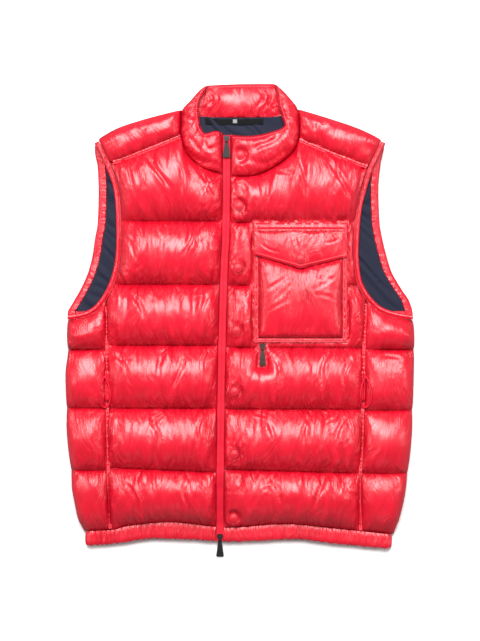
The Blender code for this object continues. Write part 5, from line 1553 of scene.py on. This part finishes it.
def cap_solid(x, y, low):
    """A turned profile of (radius, height): a thin edge, a rim, a ring groove and a low dome."""
    profile = curve([(0.84, 0.0), (0.99, 0.5), (1.0, 1.0), (0.93, 1.9), (0.82, 2.2), (0.72, 2.0), (0.6, 2.3),
                     (0.3, 2.75), (0.06, 2.85)], 18)
    angle = np.linspace(0, 2 * np.pi, 36, endpoint=False)
    wobble = 1 + 0.006 * np.sin(5 * angle + x) + 0.004 * np.sin(11 * angle + y)
    radius = SNAP_WIDTH / 2 * profile[:, :1] * wobble
    rise = low + profile[:, 1:] * np.ones(36)
    return tube(np.stack([x + radius * np.cos(angle), y + radius * np.sin(angle), rise], 2))


caps = [(number, cap, base) for number, (cap, base) in enumerate(zip(SNAPS, SNAP_BASES), start=1)]
for tail, cap, base in (*caps, ("flap", FLAP_SNAP, FLAP_SNAP_BASE)):
    piece(f"snap_cap_{tail}", [cap_solid(*cap, base)], snap_red, [f"snap_{tail}"])

# %% Hand pockets
WELT_ENDS, WELT_WIDTH = (-78.0, -124.0), 6.2
LOOP_TOP, LOOP_LENGTH, LOOP_WIDTH, CORD_WIDTH = -86.5, 48.0, 20.4, 3.0
LIPS = (
    # share of the half width, height: two rounded lips with the slit between them
    (-0.94, -1.5), (-1.0, 1.4), (-0.7, 2.4), (-0.34, 2.5), (-0.12, 1.9), (0.0, 0.8), (0.12, 1.9),
    (0.34, 2.5), (0.7, 2.4), (1.0, 1.4), (0.94, -1.5),
)


def lips_rings(side, tree):
    """Rings along the pocket's slit, which narrow and sink at both of its ends."""
    count = 60
    y = np.linspace(*WELT_ENDS, count)
    plan = np.column_stack([side_seam[side](y), y])
    level = soften(np.maximum(drop(tree, plan), foot_of(f"hand_pocket_welt_{side}")), 6)
    from_end = np.minimum(np.arange(count), np.arange(count)[::-1])
    ends = np.clip(from_end / 5, 0, 1) ** 0.5
    profile = np.array(LIPS) * np.stack([0.75 + 0.25 * ends, 0.5 + 0.5 * ends], 1)[:, None]
    return strip_rings(np.column_stack([plan, level]), WELT_WIDTH / 2, profile)


def loop_rings(side, tree):
    """Rings of a twisted cord along a drop-shaped loop that hangs over the cloth like a bridge.

    With a the angle round the loop and d = (1 - cos a) / 2, x is width / 2 * sin(a) * d^0.35 and y goes down
    by length * d.
    """
    count = 120
    angle = np.linspace(0, 2 * np.pi, count, endpoint=False)
    down = 0.5 - 0.5 * np.cos(angle)
    middle = float(side_seam[side](-105.0)) + SIGN[side] * 3.5
    plan = np.column_stack([middle + LOOP_WIDTH / 2 * np.sin(angle) * down ** 0.35,
                            LOOP_TOP - LOOP_LENGTH * down])
    z = drop(tree, plan)
    for _ in range(30):
        z = np.maximum(z, (np.roll(z, 1) + np.roll(z, -1)) / 2)
    path = np.column_stack([plan, z + CORD_WIDTH / 2 + 0.1])
    _, across, up = axes_along(np.roll(path, -1, 0) - np.roll(path, 1, 0))
    turn = np.linspace(0, 2 * np.pi, 12, endpoint=False)
    radius = CORD_WIDTH / 2 * (1 + 0.06 * np.cos(2 * (turn - np.arange(count)[:, None] * 0.45)))
    return path[:, None] + radius[..., None] * (np.cos(turn)[:, None] * across[:, None]
                                                + np.sin(turn)[:, None] * up[:, None])


for side in SIGN:
    names = [f"front_{side}_shell", f"side_panel_{side}_shell", f"side_seam_{side}"]
    lips = tube(lips_rings(side, surface_of(*names)))
    piece(f"hand_pocket_lips_{side}", [lips], shell_red_with_painted_shade, [f"hand_pocket_welt_{side}"])
    cord = tube(loop_rings(side, surface_of(*names, f"hand_pocket_lips_{side}")), closed=True)
    piece(f"cord_pull_{side}", [cord], tape_red, [f"cord_loop_{side}"])
print("snaps and hand pockets made")

# %% Sliders and pulls keep their shape and get their finish
for name, material in (("zip_slider_top", slider_black), ("zip_slider_bottom", slider_black),
                       ("zip_pull_top", pull_grey), ("zip_pull_bottom", pull_grey),
                       ("pocket_slider", bronze), ("pocket_pull", bronze)):
    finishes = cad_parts[name].data.materials
    finishes.clear()
    finishes.append(material)

# %% [markdown]
# ## Floor, light and camera
# Gloss shows what it reflects, so the light is one broad soft panel above the collar end, with gentle
# ones at the sides and at the foot. The camera looks straight down through a long lens.

# %% Studio
CAMERA_LENS, SENSOR = 150.0, 36.0
FIELD_HEIGHT, MIDDLE_HEIGHT = 641 * 1.55 * MM, 0.03
camera = bpy.data.objects.new("camera", bpy.data.cameras.new("camera"))
camera.data.lens, camera.data.sensor_width = CAMERA_LENS, SENSOR
camera.location = (0, 0, MIDDLE_HEIGHT + FIELD_HEIGHT * CAMERA_LENS / SENSOR)
camera.data.clip_end = 60.0
bpy.context.scene.collection.objects.link(camera)
bpy.context.scene.camera = camera


def soft_light(name, place, size, power):
    """A rectangular panel of light that faces the middle of the vest."""
    lamp = bpy.data.objects.new(name, bpy.data.lights.new(name, "AREA"))
    lamp.data.shape, lamp.data.size, lamp.data.size_y = "RECTANGLE", *size
    lamp.data.energy = power
    lamp.location = place
    lamp.rotation_euler = (Vector((0, 0, 0)) - Vector(place)).to_track_quat("-Z", "Y").to_euler()
    bpy.context.scene.collection.objects.link(lamp)


soft_light("collar_end_panel", (-0.1, 1.9, 3.2), (2.9, 2.4), 318.0)
soft_light("left_fill", (-2.8, 0.0, 1.7), (0.5, 1.4), 22.0)
soft_light("right_fill", (2.8, 0.0, 1.7), (0.5, 1.4), 20.0)
soft_light("foot_fill", (0.4, -3.0, 1.8), (1.4, 0.5), 3.0)

FLOOR_REACH, FLOOR_HEIGHT = 8.0, -0.0006
corners = [(x * FLOOR_REACH, y * FLOOR_REACH, FLOOR_HEIGHT) for x, y in ((-1, -1), (1, -1), (1, 1), (-1, 1))]
floor_mesh = bpy.data.meshes.new("floor")
floor_mesh.from_pydata(corners, [], [(0, 1, 2, 3)])
floor_mesh.materials.append(Finish("pale_floor", Base_Color=(0.93, 0.93, 0.93), Roughness=0.9).material)
floor = bpy.data.objects.new("floor", floor_mesh)
bpy.context.scene.collection.objects.link(floor)
floor.visible_glossy = False           # the gloss shows the lights, not the floor
world = bpy.data.worlds.new("studio")
world.use_nodes = True
background = world.node_tree.nodes["Background"].inputs
background["Color"].default_value = (1, 1, 1, 1)
background["Strength"].default_value = 0.2
bpy.context.scene.world = world
bpy.context.scene.view_settings.view_transform = "Standard"

# %% A last update of the view layer
bpy.context.view_layer.update()
